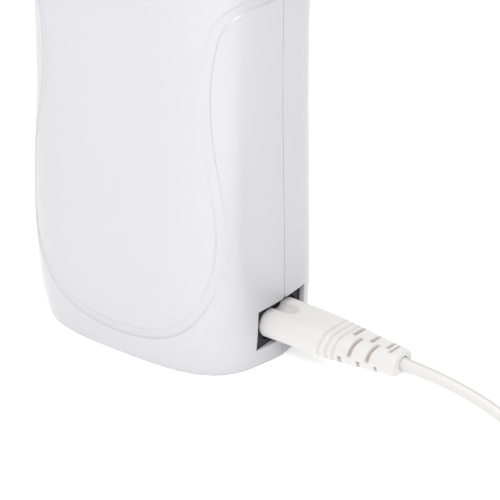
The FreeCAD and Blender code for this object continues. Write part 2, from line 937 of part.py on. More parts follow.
def inlet_socket():
    """Black two-pin inlet with a flange behind the opening and a figure-8 well."""
    face = inlet_face_x
    half_w = opening_half_width + inlet_flange_margin
    half_h = opening_half_height + inlet_flange_margin
    flange = box(face - inlet_flange_thickness, face, inlet_y - half_w, inlet_y + half_w,
                 inlet_z - half_h, inlet_z + half_h)
    body = box(face - inlet_body_length, face - inlet_flange_thickness,
               inlet_y - inlet_body_half_width, inlet_y + inlet_body_half_width,
               inlet_z - inlet_body_half_height, inlet_z + inlet_body_half_height)
    socket = join([flange, body])
    socket = socket.cut(lobes(face - nose_length - nose_end_gap, face + 1, nose_gap))
    for y in (inlet_y - pin_spacing / 2, inlet_y + pin_spacing / 2):
        start = Vector(face - inlet_body_length - 1, y, inlet_z)
        socket = socket.cut(rod(start, Vector(1, 0, 0), pin_radius, inlet_body_length))
    return socket


def inlet_pin(side):
    """Contact pin with a rounded tip and a tail behind the socket for its wire."""
    start = inlet_face_x - inlet_body_length - pin_tail
    length = inlet_face_x - pin_recess - start
    pin = rod(Vector(start, inlet_y + side * pin_spacing / 2, inlet_z), Vector(1, 0, 0),
              pin_radius, length)
    tip = [e for e in pin.Edges if e.BoundBox.XMin > start + length - 0.01]
    return pin.makeFillet(pin_tip_radius, tip)


def grip_level(x, half_width, half_height):
    """A stadium outline across the connector."""
    y, z = inlet_y, inlet_z
    flat = half_width - half_height
    top = [Vector(x, y - flat, z + half_height), Vector(x, y + flat, z + half_height)]
    low = [Vector(x, y + flat, z - half_height), Vector(x, y - flat, z - half_height)]
    return Part.Wire([
        Part.makeLine(top[0], top[1]),
        Part.Arc(top[1], Vector(x, y + half_width, z), low[0]).toShape(),
        Part.makeLine(low[0], low[1]),
        Part.Arc(low[1], Vector(x, y - half_width, z), top[0]).toShape(),
    ])


def grip_form(inset=0.0):
    """The connector's tapering form, drawn in by inset."""
    wires = [grip_level(grip_x + x, a - inset, b - inset) for x, a, b in GRIP_STATIONS]
    return Part.makeLoft(wires, True, False)


def slot_sectors(index, x0, x1):
    """The two opposite quarters that a strain relief slot cuts, turned at every other slot."""
    y, z = inlet_y, inlet_z
    if index % 2:
        edge, lap = turned_slot_edge, turned_slot_lap
        front = box(x0, x1, y - reach, y - edge, z - lap, z + reach)
        return [front, box(x0, x1, y + edge, y + reach, z - reach, z + lap)]
    rear = box(x0, x1, y - slot_lap, y + reach, z + slot_top_edge, z + reach)
    return [rear, box(x0, x1, y - reach, y + slot_lap, z - reach, z - slot_low_edge)]


def connector_body():
    """Moulded connector: nose, figure-8 grip, ring grooves and slotted strain relief."""
    form = grip_form()
    end_x = grip_x + GRIP_STATIONS[-1][0]
    rim = [e for e in form.Edges if e.BoundBox.XMin > end_x - 0.01]
    form = form.makeFillet(grip_end_radius, rim)
    nose_tip = inlet_face_x - nose_length
    body = join([form, lobes(nose_tip, grip_x, 0)])
    for side in (-1, 1):
        rise = GRIP_STATIONS[0][2] - valley_depth + valley_radius
        centre = Vector(grip_x, inlet_y, inlet_z + side * rise)
        run = valley_end - valley_radius
        valley = rod(centre, Vector(1, 0, 0), valley_radius, run)
        valley = valley.fuse(Part.makeSphere(valley_radius, centre + Vector(run, 0, 0)))
        body = body.cut(valley.common(box(grip_x, grip_x + valley_end, -reach, reach, 0, reach)))
    skin = grip_form().cut(grip_form(ring_groove_depth))
    for x in RING_GROOVES:
        ring = box(grip_x + x, grip_x + x + ring_groove_width, -reach, reach, 0, reach)
        body = body.cut(skin.common(ring))
    shell = grip_form().cut(grip_form(slot_depth))
    for index in range(slot_count):
        x0 = grip_x + slot_start + index * slot_pitch
        for sector in slot_sectors(index, x0, x0 + slot_width):
            body = body.cut(shell.common(sector))
    body = body.cut(
        rod(Vector(end_x - relief_recess_depth, inlet_y, inlet_z), Vector(1, 0, 0),
            relief_recess_radius, relief_recess_depth + 1)
    )
    for side in (-1, 1):
        start = Vector(nose_tip - 1, inlet_y + side * pin_spacing / 2, inlet_z)
        body = body.cut(
            rod(start, Vector(1, 0, 0), contact_radius, 1 + nose_length - contact_stop)
        )
    return body


def connector_contact(side):
    """Spring sleeve in the connector's nose that grips an inlet pin."""
    start = Vector(
        inlet_face_x - contact_stop - contact_length, inlet_y + side * pin_spacing / 2, inlet_z
    )
    sleeve = rod(start, Vector(1, 0, 0), contact_radius, contact_length)
    return sleeve.cut(rod(start, Vector(1, 0, 0), pin_radius + contact_gap, contact_length))


def tube(name, points, radius, inner_share=0.45):
    """Round tube along straight runs joined by tangent arcs, each as large as its runs allow."""
    edges = []
    length = 0.0
    last = points[0]
    radii = []
    for before, corner, after in zip(points, points[1:], points[2:]):
        into = (corner - before).normalize()
        out = (after - corner).normalize()
        half_turn = into.getAngle(out) / 2
        cut = inner_share * min((corner - before).Length, (after - corner).Length)
        radii.append(cut / math.tan(half_turn))
        start, end = corner - into * cut, corner + out * cut
        bisector = (out - into).normalize()
        middle = corner + bisector * (radii[-1] / math.cos(half_turn) - radii[-1])
        edges += [Part.LineSegment(last, start).toShape(), Part.Arc(start, middle, end).toShape()]
        length += (start - last).Length + radii[-1] * 2 * half_turn
        last = end
    edges.append(Part.LineSegment(last, points[-1]).toShape())
    length += (points[-1] - last).Length
    direction = (points[1] - points[0]).normalize()
    ring = Part.Wire([Part.Circle(points[0], direction, radius).toShape()])
    solid = Part.Wire(edges).makePipeShell([ring], True, False, 2)
    share = solid.Volume / (math.pi * radius ** 2 * length)
    print(name, "length %.1f" % length, "volume/section*length %.4f" % share,
          "radii", " ".join("%.1f" % r for r in radii))
    return solid


def wire(name, points):
    """A wire along a route, which stops just short of what it joins at each end."""
    points = list(points)
    for end, beside in ((0, 1), (-1, -2)):
        inwards = (points[beside] - points[end]).normalize()
        points[end] = points[end] + inwards * wire_end_gap
    return tube(name, points, wire_radius)


def pin_tail_end(side):
    """The end of a pin behind the inlet, where its wire starts."""
    x = inlet_face_x - inlet_body_length - pin_tail
    return Vector(x, inlet_y + side * pin_spacing / 2, inlet_z)


def live_wire():
    """From the front inlet pin up the right of the well to the board."""
    tail = pin_tail_end(-1)
    end = Vector(board_half_width, board_face_y() + board_thickness / 2, board_low + 8)
    return wire("live_wire", [
        tail, tail + Vector(-5, 0, 0.4), tail + Vector(-6, -6, 3), Vector(15, wire_y, wire_low),
        Vector(wire_x, wire_y, wire_low + 9), Vector(wire_x, wire_y - 0.2, board_low - 6),
        Vector(wire_x - 3, end.y, board_low + 6), end + Vector(6, 0, 1.2), end,
    ])


def neutral_wire():
    """From the rear inlet pin under the well to the foot of the element."""
    tail = pin_tail_end(1)
    end = Vector(-6, plate_back_y() - ptc_thickness / 2, heater_z - ptc_half_height)
    return wire("neutral_wire", [
        tail, tail + Vector(-6, 0, 0.5), tail + Vector(-14, -5, 4), Vector(-7, wire_y - 1, wire_low),
        Vector(-8, end.y - 0.3, wire_low + 12), end + Vector(-0.5, 0, -8), end,
    ])


def switched_wire():
    """From the board to the thermal cut-out."""
    start = Vector(-board_half_width, board_face_y() + board_thickness / 2, board_low + 4)
    end = Vector(-cutoff_length / 2, cutoff_axis_y(), cutoff_z)
    return wire("switched_wire", [
        start, start + Vector(-4, -0.2, -0.4), start + Vector(-6.5, -1.6, -4.5),
        Vector(end.x - 13, end.y, end.z + 5), Vector(end.x - 6.5, end.y, end.z + 0.4), end,
    ])


def element_lead():
    """From the thermal cut-out to the head of the element."""
    start = Vector(cutoff_length / 2, cutoff_axis_y(), cutoff_z)
    end = Vector(6, plate_back_y() - ptc_thickness / 2, heater_z + ptc_half_height)
    return wire("element_lead", [
        start, start + Vector(4, 0, -0.3), start + Vector(6, 0, -3.5),
        Vector(end.x + 0.6, end.y, end.z + 4), end,
    ])


def coil_profile(margin):
    """The coil's cross-section, standing in the XZ plane at its middle radius."""
    half = coil_columns * cord_radius + margin
    low = coil_lift - margin
    high = coil_lift + coil_layers * 2 * cord_radius + margin
    return coil_middle_radius - half, coil_middle_radius + half, low, high


def ring_of(profile, start, sweep):
    """Turn a rectangle in the XZ plane round the coil's upright axis."""
    r0, r1, z0, z1 = profile
    corners = [Vector(r0, 0, z0), Vector(r1, 0, z0), Vector(r1, 0, z1), Vector(r0, 0, z1)]
    face = Part.Face(Part.makePolygon(corners + corners[:1]))
    ring = face.revolve(Vector(0, 0, 0), Vector(0, 0, 1), sweep)
    ring.rotate(Vector(0, 0, 0), Vector(0, 0, 1), start)
    ring.translate(Vector(coil_centre_x, coil_centre_y, 0))
    return ring


def cord_coil():
    ring = ring_of(coil_profile(0), 0, 360)
    rims = [e for e in ring.Edges if isinstance(e.Curve, Part.Circle)]
    return ring.makeFillet(coil_edge_radius, rims)


def coil_tie():
    """Flat band closed round the bundle of turns."""
    start = tie_angle - tie_half_span
    outer = ring_of(coil_profile(tie_thickness), start, 2 * tie_half_span)
    inner = ring_of(coil_profile(0), start - 5, 2 * tie_half_span + 10)
    return outer.cut(inner)


def plug_face_x():
    """The plug's face, from which its pins stand out."""
    return plug_tail_x + plug_tail_length + plug_length


def mains_plug():
    """Flat six-sided plug body with a round tapered tail."""
    x0 = plug_tail_x + plug_tail_length
    x1 = plug_face_x()
    z = plug_half_height
    near_y, far_y = plug_y - plug_half_width, plug_y + plug_half_width
    corners = (
        (x0, near_y + plug_slope), (x0 + plug_slope, near_y), (x1, near_y),
        (x1, far_y), (x0 + plug_slope, far_y), (x0, far_y - plug_slope),
    )
    outline = [Vector(x, y, z) for x, y in corners]
    face = Part.Face(Part.makePolygon(outline + outline[:1]))
    body = face.extrude(Vector(0, 0, 2 * z))
    body.translate(Vector(0, 0, -z))
    body = body.makeFillet(plug_edge_radius, body.Edges)
    tail = Part.makeCone(plug_tail_radius, plug_tail_radius + plug_tail_flare,
                         plug_tail_length + plug_tail_root,
                         Vector(plug_tail_x, plug_y, z), Vector(1, 0, 0))
    plug = join([body, tail])
    for side in (-1, 1):
        face = Vector(x1, plug_y + side * plug_pin_spacing / 2, z)
        plug = plug.cut(rod(face, Vector(-1, 0, 0), plug_pin_root_radius, plug_pin_root_length))
    return plug


def mains_pins():
    pins = []
    for side in (-1, 1):
        face = Vector(plug_face_x(), plug_y + side * plug_pin_spacing / 2, plug_half_height)
        pin = rod(face, Vector(1, 0, 0), plug_pin_radius, plug_pin_length)
        tip = [e for e in pin.Edges if e.BoundBox.XMin > face.x + plug_pin_length - 0.01]
        root = rod(face, Vector(-1, 0, 0), plug_pin_root_radius, plug_pin_root_length)
        pins.append(join([pin.makeFillet(plug_pin_tip_radius, tip), root]))
    return Part.makeCompound(pins)


def main():
    os.makedirs("parts", exist_ok=True)
    nodes = {
        "front_shell": front_shell(),
        "rear_shell": rear_shell(),
        "level_window": level_window(),
        "housing_screws": housing_screws(),
        "cartridge_well": cartridge_well(),
        "top_collar": top_collar(),
        "collar_screws": collar_screws(),
        "cap": cap(),
        "heater_plate": heater_plate(),
        "ptc_element": ptc_element(),
        "heater_clamp": heater_clamp(),
        "clamp_screws": clamp_screws(),
        "insulation_sheet": insulation_sheet(),
        "thermal_cutoff": thermal_cutoff(),
        "cutoff_clip": cutoff_clip(),
        "cartridge_spring_left": cartridge_spring(-1),
        "cartridge_spring_right": cartridge_spring(1),
        "control_board": control_board(),
        "board_screws": board_screws(),
        "push_switch": push_switch(),
        "switch_plunger": switch_plunger(),
        "power_button": power_button(),
        "pilot_led": pilot_led(),
        "led_lens": led_lens(),
        "control_triac": control_triac(),
        "inlet_socket": inlet_socket(),
        "inlet_pin_front": inlet_pin(-1),
        "inlet_pin_rear": inlet_pin(1),
        "live_wire": live_wire(),
        "neutral_wire": neutral_wire(),
        "switched_wire": switched_wire(),
        "element_lead": element_lead(),
        "connector_body": connector_body(),
        "connector_contact_front": connector_contact(-1),
        "connector_contact_rear": connector_contact(1),
        "cord_run": tube("cord_run", CORD_RUN, cord_radius),
        "cord_coil": cord_coil(),
        "cord_tail": tube("cord_tail", CORD_TAIL, cord_radius),
        "coil_tie": coil_tie(),
        "mains_plug": mains_plug(),
        "mains_pins": mains_pins(),
    }
    for name, shape in nodes.items():
        save(name, shape)


main()
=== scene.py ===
"""Looks of a roll on wax heater with its detachable lead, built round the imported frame.

Sizes are in millimetres, as in the part's source, and become metres when a mesh is made."""

import math  # noqa: E402

import bmesh  # noqa: E402
import bpy  # noqa: E402
import numpy as np  # noqa: E402
from mathutils import Matrix, Vector, geometry  # noqa: E402


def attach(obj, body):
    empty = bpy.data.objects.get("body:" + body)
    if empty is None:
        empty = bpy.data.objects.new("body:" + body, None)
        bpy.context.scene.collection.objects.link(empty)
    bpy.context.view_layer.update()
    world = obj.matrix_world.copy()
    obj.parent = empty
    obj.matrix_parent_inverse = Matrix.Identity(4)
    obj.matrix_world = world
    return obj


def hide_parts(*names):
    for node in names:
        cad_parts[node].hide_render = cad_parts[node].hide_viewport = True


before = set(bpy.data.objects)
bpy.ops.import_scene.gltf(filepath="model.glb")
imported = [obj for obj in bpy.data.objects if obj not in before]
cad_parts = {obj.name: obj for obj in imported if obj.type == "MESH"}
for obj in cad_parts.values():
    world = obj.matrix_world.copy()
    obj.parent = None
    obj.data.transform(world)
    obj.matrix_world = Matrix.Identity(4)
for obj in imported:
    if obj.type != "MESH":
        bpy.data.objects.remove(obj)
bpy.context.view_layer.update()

MM = 0.001

# Camera: a long lens, a little above and to the right of the front. Angles are in degrees.
VIEW_AZIMUTH = 36.34
VIEW_ELEVATION = 28.11
VIEW_TARGET = Vector((0, 3.5, 50)) * MM
VIEW_DISTANCE = 714.2 * MM
VIEW_RIGHT = 21.4 * MM
VIEW_DOWN = 24.8 * MM
VIEW_LENS = 181.9
VIEW_SENSOR = 36
VIEW_CLIP = (0.05, 20)

# Light: azimuth, elevation, distance, size and power of each softbox, the strength of the sky
# and that of the floor's own glow, and the floor's side.
KEY_LIGHT = (33, 36, 1.5, 0.8, 23)
TOP_LIGHT = (0, 88, 1.5, 1.2, 20)
SKY_STRENGTH = 0.56
FLOOR_GLOW = 0.2
FLOOR_SIZE = 8.0

# Colours, as shares of the light that they send back.
SHELL_COLOUR = (0.368, 0.365, 0.382)
CONNECTOR_COLOUR = (0.445, 0.438, 0.431)
# The slots' colour is painted shade: the grip's grooves and slots pass towards this warm dark tone as
# they deepen.
SLOT_SHADE_COLOUR = (0.31, 0.24, 0.2)
CORD_COLOUR = (0.4, 0.396, 0.389)

# Cord, from the strain relief to the tail of the mains plug, and how much thicker it is at its
# first points.
CORD_RADIUS = 1.6 * MM
CORD_SWELL = (1.3, 1.1, 1.1, 1.1, 1.08, 1.03)
CORD_RUN = (
    (78.5, 2.7, 12.0),
    (89.0, 2.7, 11.85),
    (100.0, 2.5, 10.35),
    (110.0, 1.7, 8.4),
    (119.5, -0.3, 5.4),
    (128.5, -3.7, 2.5),
    (137.0, -6.6, 2.2),
    (143.5, -7.2, 2.2),
)
CORD_TAIL = ((149.0, -7.1, 11.8), (158.0, -7.0, 11.2), (167.0, -6.1, 8.5), (176.0, -5.6, 6.85))
CORD_BEVEL = 5
CORD_STEPS = 4
COIL_CENTRE = (146.0, 14.0)
COIL_OUTER = 21.2
COIL_LOW = 2.2
COIL_COLUMNS = 3
COIL_LAYERS = 4
COIL_STEP = 3.2
TURN_POINTS = 24
TURN_SHIFT = 1 / 8

# Body: its plan is a superellipse at each level, with one half each side of the seam.
SHELL_HEIGHT = 136.0
WALL = 2.2
BASE_WALL = 2.5
SEAM_Y = 3.5
REAR_DEPTH = 20.5
REAR_POWER = 4.7
FRONT_DEPTH = 28.3
FRONT_LEAN = 4.7
LEAN_HEIGHT = 63.7
FRONT_POWER = 4.36
POWER_DROP = 1.21
POWER_HEIGHT = 35.0
HALF_WIDTH = 39.11
WIDTH_LEAN = 0.009
WAIST = 0.7
WAIST_Z = 78.5
WAIST_SPAN = 34.0
WIDTH_TUCK = 2.3
DEPTH_TUCK = 2.2
TUCK_HEIGHT = 9.0
SHOULDER_Z = 104.0
SHOULDER_WIDTH = 0.88
SHOULDER_DEPTH = 0.15

# Sides: the bow of the front shell's sides, and the flare of the foot beside the seam.
SIDE_BOW = 76.0
BOW_ROUNDS = 12
FLARE = 1.3
FLARE_HEIGHT = 7.0
FLARE_SPAN = 7.0

# Edges: their radii and half the seam's gap; and how far a shell's pattern runs on under the
# base, and the share of its width that is left there.
BASE_EDGE = 0.9
INNER_FOLD = 0.5
SEAM_GAP = 0.1
SEAM_EDGE = 0.25
RIM_EDGE = 0.25
INNER_EDGE = 0.15
UNDER_RUN = 24.0
UNDER_SHARE = 0.75

# Channel round the front panel: its outer edge on the right half, the knee and the level run
# that take it to the seam, and its section.
CHANNEL_EDGE = (
    (0.0, 7.6),
    (9.8, 8.6),
    (20.0, 12.2),
    (28.3, 20.2),
    (32.9, 31.0),
    (34.3, 43.0),
    (32.5, 61.0),
    (29.9, 78.0),
    (29.8, 90.0),
    (31.5, 101.4),
    (32.6, 104.7),
    (35.3, 108.5),
)
CHANNEL_END = 109.65
CHANNEL_KNEE = (3.4, -0.15)
CHANNEL_LEVEL = 8.0
CHANNEL_WIDTH = 3.7
CHANNEL_DEPTH = 0.38
CHANNEL_OUTER_WALL = 0.65
CHANNEL_INNER_WALL = 1.0
CHANNEL_LIP = 0.1
CHANNEL_LIP_WIDTH = 0.9
CHANNEL_ROWS = (
    -1.1, -0.9, -0.65, -0.4, -0.2, 0.0, 0.15, 0.3, 0.45, 0.65,
    1.1, 1.7, 2.3, 2.7, 2.95, 3.2, 3.45, 3.7, 4.1,
)

# Holes in the shells.
OPENING_Y = (-7.6, 13.6)
OPENING_Z = (6.15, 18.85)
OPENING_CORNER = 0.35
SEAM_NOTCH = 0.55
BUTTON_Z = 118.5
BUTTON_HOLE = 4.6
LENS_Z = 128.0
LENS_HOLE = 1.85
WINDOW_HALF_WIDTH = 4.58
WINDOW_Z = (46.0, 104.0)
SCREW_X = 31.8
SCREW_LEVELS = (23.6, 125.6)
HEAD_HOLE = 2.45
HEAD_SEAT_Y = 16.0
SHANK_HOLE = 1.55
PILOT_HOLE = 1.15
PILOT_END_Y = -6.0
BOSS_RADIUS = 3.1
BOSS_GAP = 0.15

# Connector: its axis, its nose with the two sockets, and the grip, by x, half width, half
# height and how far its axis has dropped.
INLET_Y = 2.7
INLET_Z = 12.6
PIN_SPACING = 8.6
NOSE_RADIUS = 3.4
NOSE_WAIST = 2.1
NOSE_EDGE = 0.5
NOSE_TIP_X = 22.0
SOCKET_RADIUS = 1.9
SOCKET_END_X = 35.5
GRIP = (
    (36.1, 8.2, 4.1, 0.0),
    (42.0, 8.15, 4.1, 0.0),
    (48.0, 8.0, 4.1, 0.02),
    (54.0, 7.7, 4.17, 0.13),
    (58.0, 7.4, 4.18, 0.25),
    (62.0, 7.02, 4.02, 0.36),
    (66.0, 6.47, 3.82, 0.46),
    (70.0, 5.97, 3.65, 0.55),
    (74.0, 5.52, 3.54, 0.58),
    (76.5, 5.2, 3.5, 0.53),
    (79.2, 4.9, 3.48, 0.45),
)
FACE_LENGTH = 1.0
FACE_ROUND = 0.42
END_LENGTH = 1.3
END_ROUND = 1.0
RECESS_RADIUS = 2.15
RECESS_DEPTH = 0.75
VALLEY_RADIUS = 2.45
VALLEY_RISE = 0.25
VALLEY_RIM = 0.35
VALLEY_END = 41.3
VALLEY_SHIFT = -0.2
RING_GROOVES = (56.5, 58.8, 60.9)
RING_HALF_WIDTH = 0.42
RING_DEPTH = 0.42
RING_LEAN = (0.08, 0.15)
SLOT_DEPTH = 1.2
SLOT_SIDE = 0.3
SLOT_END = 0.4
SLOT_LEAN = (0.08, 0.08)
# Each slot's upper and lower sector: a side of y and where it starts, and the same for z.
REAR_SLOT = ((1, -0.6, 1, 1.4), (-1, -0.6, -1, 0.55))
FRONT_SLOT = ((-1, 0.5, 1, 0.1), (1, 0.5, -1, 0.1))
LAST_SLOT = ((1, -2.1, 1, 1.4), (1, -2.1, -1, 1.4))
# Each slot's place along the grip, its width and its sectors.
SLOTS = (
    (63.0, 1.0, REAR_SLOT),
    (65.85, 1.0, FRONT_SLOT),
    (68.6, 1.0, REAR_SLOT),
    (71.25, 1.0, FRONT_SLOT),
    (73.9, 0.8, REAR_SLOT),
    (75.75, 0.65, LAST_SLOT),
)

# Front plate of the inlet: it fills the opening, and the grip's face sits in its hole.
PLATE_BACK_X = 36.03
PLATE_FRONT_X = 36.75
PLATE_GAP = 0.06
PLATE_EDGE = 0.12
PLATE_HOLE = (9.0, 4.9)

# Spacing of mesh points, and the angles past which an edge is sharp.
RING_POINTS = 192
GRIP_EDGE_STEPS = 7
GRIP_SPACING = 0.5
GROOVES_FROM = 54.6
GROOVE_SPACING = 0.12
GRIP_SHARP_ANGLE = math.radians(62)
SKIN_SPACING = 1.5
INNER_SPACING = 4.0
EDGE_SPACING = 1.0
FINE_EDGE_SPACING = 0.25
FINE_EDGE_MARGIN = 1.0
CHANNEL_SPACING = 0.8
CHANNEL_FINE_SPACING = 0.2
ROW_END_GAP = 0.5
HOLE_POINTS = 32
EDGE_STEPS = 4
SHARP_ANGLE = math.radians(35)

# Working values: the level where a shell's pattern has its true length and the points that
# measure it, the steps that slopes are taken over, the staggered grid's row height and the
# room it keeps as shares of its spacing, the points handled at once, and two tiny lengths.
PATTERN_Z = 60.0
PATTERN_POINTS = 4001
SKIN_STEP = 0.04
DEPTH_STEP = 0.01
GRID_ROW = 0.87
GRID_ROOM = 0.62
BATCH = 500
TINY = 1e-12
MERGE_DISTANCE = 1e-7


# ---- meshes ------------------------------------------------------------------------------


def add_piece(name, points, patches, body, replaces=(), turn_out=False, sharp=SHARP_ANGLE):
    """Make a piece from points in millimetres and patches, each of which is an array of faces
    and the normals at their corners, or None where the faces' own normals will do. The faces
    of a closed piece may be left for Blender to turn outwards."""
    mesh = bpy.data.meshes.new(name)
    sizes = np.concatenate([np.full(len(faces), faces.shape[1]) for faces, _ in patches])
    corners = np.concatenate([faces.ravel() for faces, _ in patches])
    normals = np.concatenate([
        np.zeros((faces.size, 3)) if given is None else given.reshape(-1, 3)
        for faces, given in patches
    ])
    mesh.vertices.add(len(points))
    mesh.vertices.foreach_set("co", (points * MM).astype(np.float32).ravel())
    mesh.loops.add(len(corners))
    mesh.loops.foreach_set("vertex_index", corners.astype(np.int32))
    mesh.polygons.add(len(sizes))
    mesh.polygons.foreach_set("loop_start", (np.cumsum(sizes) - sizes).astype(np.int32))
    mesh.polygons.foreach_set("use_smooth", np.ones(len(sizes), bool))
    mesh.update(calc_edges=True)
    if mesh.validate():
        raise ValueError(f"{name} has faces that a mesh can't hold")
    if turn_out:
        work = bmesh.new()
        work.from_mesh(mesh)
        bmesh.ops.recalc_face_normals(work, faces=work.faces)
        work.to_mesh(mesh)
        work.free()
    mesh.set_sharp_from_angle(angle=sharp)
    if normals.any():
        mesh.normals_split_custom_set(normals.tolist())
    piece = bpy.data.objects.new(name, mesh)
    bpy.context.scene.collection.objects.link(piece)
    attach(piece, body)
    if replaces:
        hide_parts(*replaces)
    return piece


def unit(vectors):
    """Vectors scaled to length one."""
    return vectors / np.maximum(np.linalg.norm(vectors, axis=-1, keepdims=True), TINY)


def left_of(along):
    """Flat directions turned left by a quarter turn."""
    return np.stack([-along[:, 1], along[:, 0]], axis=1)


def lengths_along(line):
    """How far along a line each of its points lies."""
    return np.concatenate([[0], np.cumsum(np.linalg.norm(np.diff(line, axis=0), axis=1))])


def quarter_turn(steps):
    """Even angles from nothing to a quarter turn."""
    return np.pi / 2 * np.arange(steps + 1) / steps


def smooth_step(t):
    """0 before 0, 1 after 1, and 3t^2 - 2t^3 between."""
    t = np.clip(t, 0, 1)
    return t * t * (3 - 2 * t)


def batches(count):
    """The numbers below a count, in batches, so that a table of pairs stays small."""
    return np.array_split(np.arange(count), count // BATCH + 1)


def ring_edges(ring):
    """Edges round a closed ring of point numbers."""
    return np.stack([ring, np.roll(ring, -1)], axis=1)


def fan(ring, centre):
    """Triangles from a ring of point numbers to the point at its centre."""
    return np.stack([ring, np.roll(ring, -1), np.full(len(ring), centre)], axis=1)


def smooth_line(points, spacing):
    """A natural cubic spline through points, by chord length, read at about even spacing."""
    points = np.array(points, float)
    at = lengths_along(points)
    h = np.diff(at)
    n = len(at)
    matrix = np.eye(n)
    right = np.zeros_like(points)
    slopes = np.diff(points, axis=0) / h[:, None]
    inner = np.arange(1, n - 1)
    matrix[inner, inner - 1] = h[:-1]
    matrix[inner, inner] = 2 * (h[:-1] + h[1:])
    matrix[inner, inner + 1] = h[1:]
    right[1:-1] = 6 * np.diff(slopes, axis=0)
    bend = np.linalg.solve(matrix, right)
    t = np.linspace(0, at[-1], int(at[-1] / spacing) + 1)
    k = np.clip(np.searchsorted(at, t, side="right") - 1, 0, n - 2)
    a = ((at[k + 1] - t) / h[k])[:, None]
    b = 1 - a
    curve = (a ** 3 - a) * bend[k] + (b ** 3 - b) * bend[k + 1]
    return a * points[k] + b * points[k + 1] + curve * (h[k] ** 2)[:, None] / 6


def path(points, spacing):
    """A polyline with its sides cut to about a spacing, and its own points kept."""
    points = np.array(points, float)
    parts = []
    for a, b in zip(points[:-1], points[1:]):
        n = max(1, round(np.linalg.norm(b - a) / spacing))
        parts.append(a + (b - a) * np.arange(n)[:, None] / n)
    return np.concatenate(parts + [points[-1:]])


def arc(centre, radius, start, stop, steps):
    """Points of a circular arc, from one angle in degrees to another."""
    t = np.radians(np.linspace(start, stop, steps + 1))
    return np.stack([centre[0] + radius * np.cos(t), centre[1] + radius * np.sin(t)], axis=1)


# ---- the two shells ----------------------------------------------------------------------


def shoulder(z):
    """0 up the body, rising to 1 at its top, where it takes the collar's size."""
    return smooth_step((z - SHOULDER_Z) / (SHELL_HEIGHT - SHOULDER_Z))


def half_width(z):
    """Half the body's width: a tuck at the base that dies away upwards, a slight lean, a shallow
    waist, and a shoulder."""
    tuck = WIDTH_TUCK * np.exp(-z / TUCK_HEIGHT)
    waist = WAIST * np.exp(-((z - WAIST_Z) / WAIST_SPAN) ** 2)
    return HALF_WIDTH - tuck - WIDTH_LEAN * z - waist - SHOULDER_WIDTH * shoulder(z)


def half_depth(z, side):
    """Distance from the seam to the face: constant behind, tucked and leaning in front."""
    if side > 0:
        return REAR_DEPTH + 0 * z
    tuck = DEPTH_TUCK * np.exp(-z / TUCK_HEIGHT)
    lean = FRONT_LEAN * (1 - np.exp(-(np.maximum(z, 0) / LEAN_HEIGHT) ** 4))
    return FRONT_DEPTH - tuck - lean + SHOULDER_DEPTH * shoulder(z)


def plan_power(z, side):
    """Power of the superellipse: constant behind, and in front rounder at the base."""
    if side > 0:
        return REAR_POWER + 0 * z
    return FRONT_POWER - POWER_DROP * np.exp(-z / POWER_HEIGHT)


def side_bow(x, away, width, z):
    """How far the front shell's side is drawn in: by an arc of the bow's radius from the seam,
    blended with the room that the plan already leaves there, as the cube root of the sum of
    their cubes, and in proportion to x."""
    room = width - np.abs(x)
    sagitta = away ** 2 / (2 * SIDE_BOW) * (1 - shoulder(z))
    return (np.cbrt(room ** 3 + sagitta ** 3) - room) * x / width


def foot_flare(away, z):
    """How much less the sides are tucked in beside the seam: it dies away upwards, and by a bell
    curve to each side."""
    return FLARE * np.exp(-z / FLARE_HEIGHT - (away / FLARE_SPAN) ** 2)


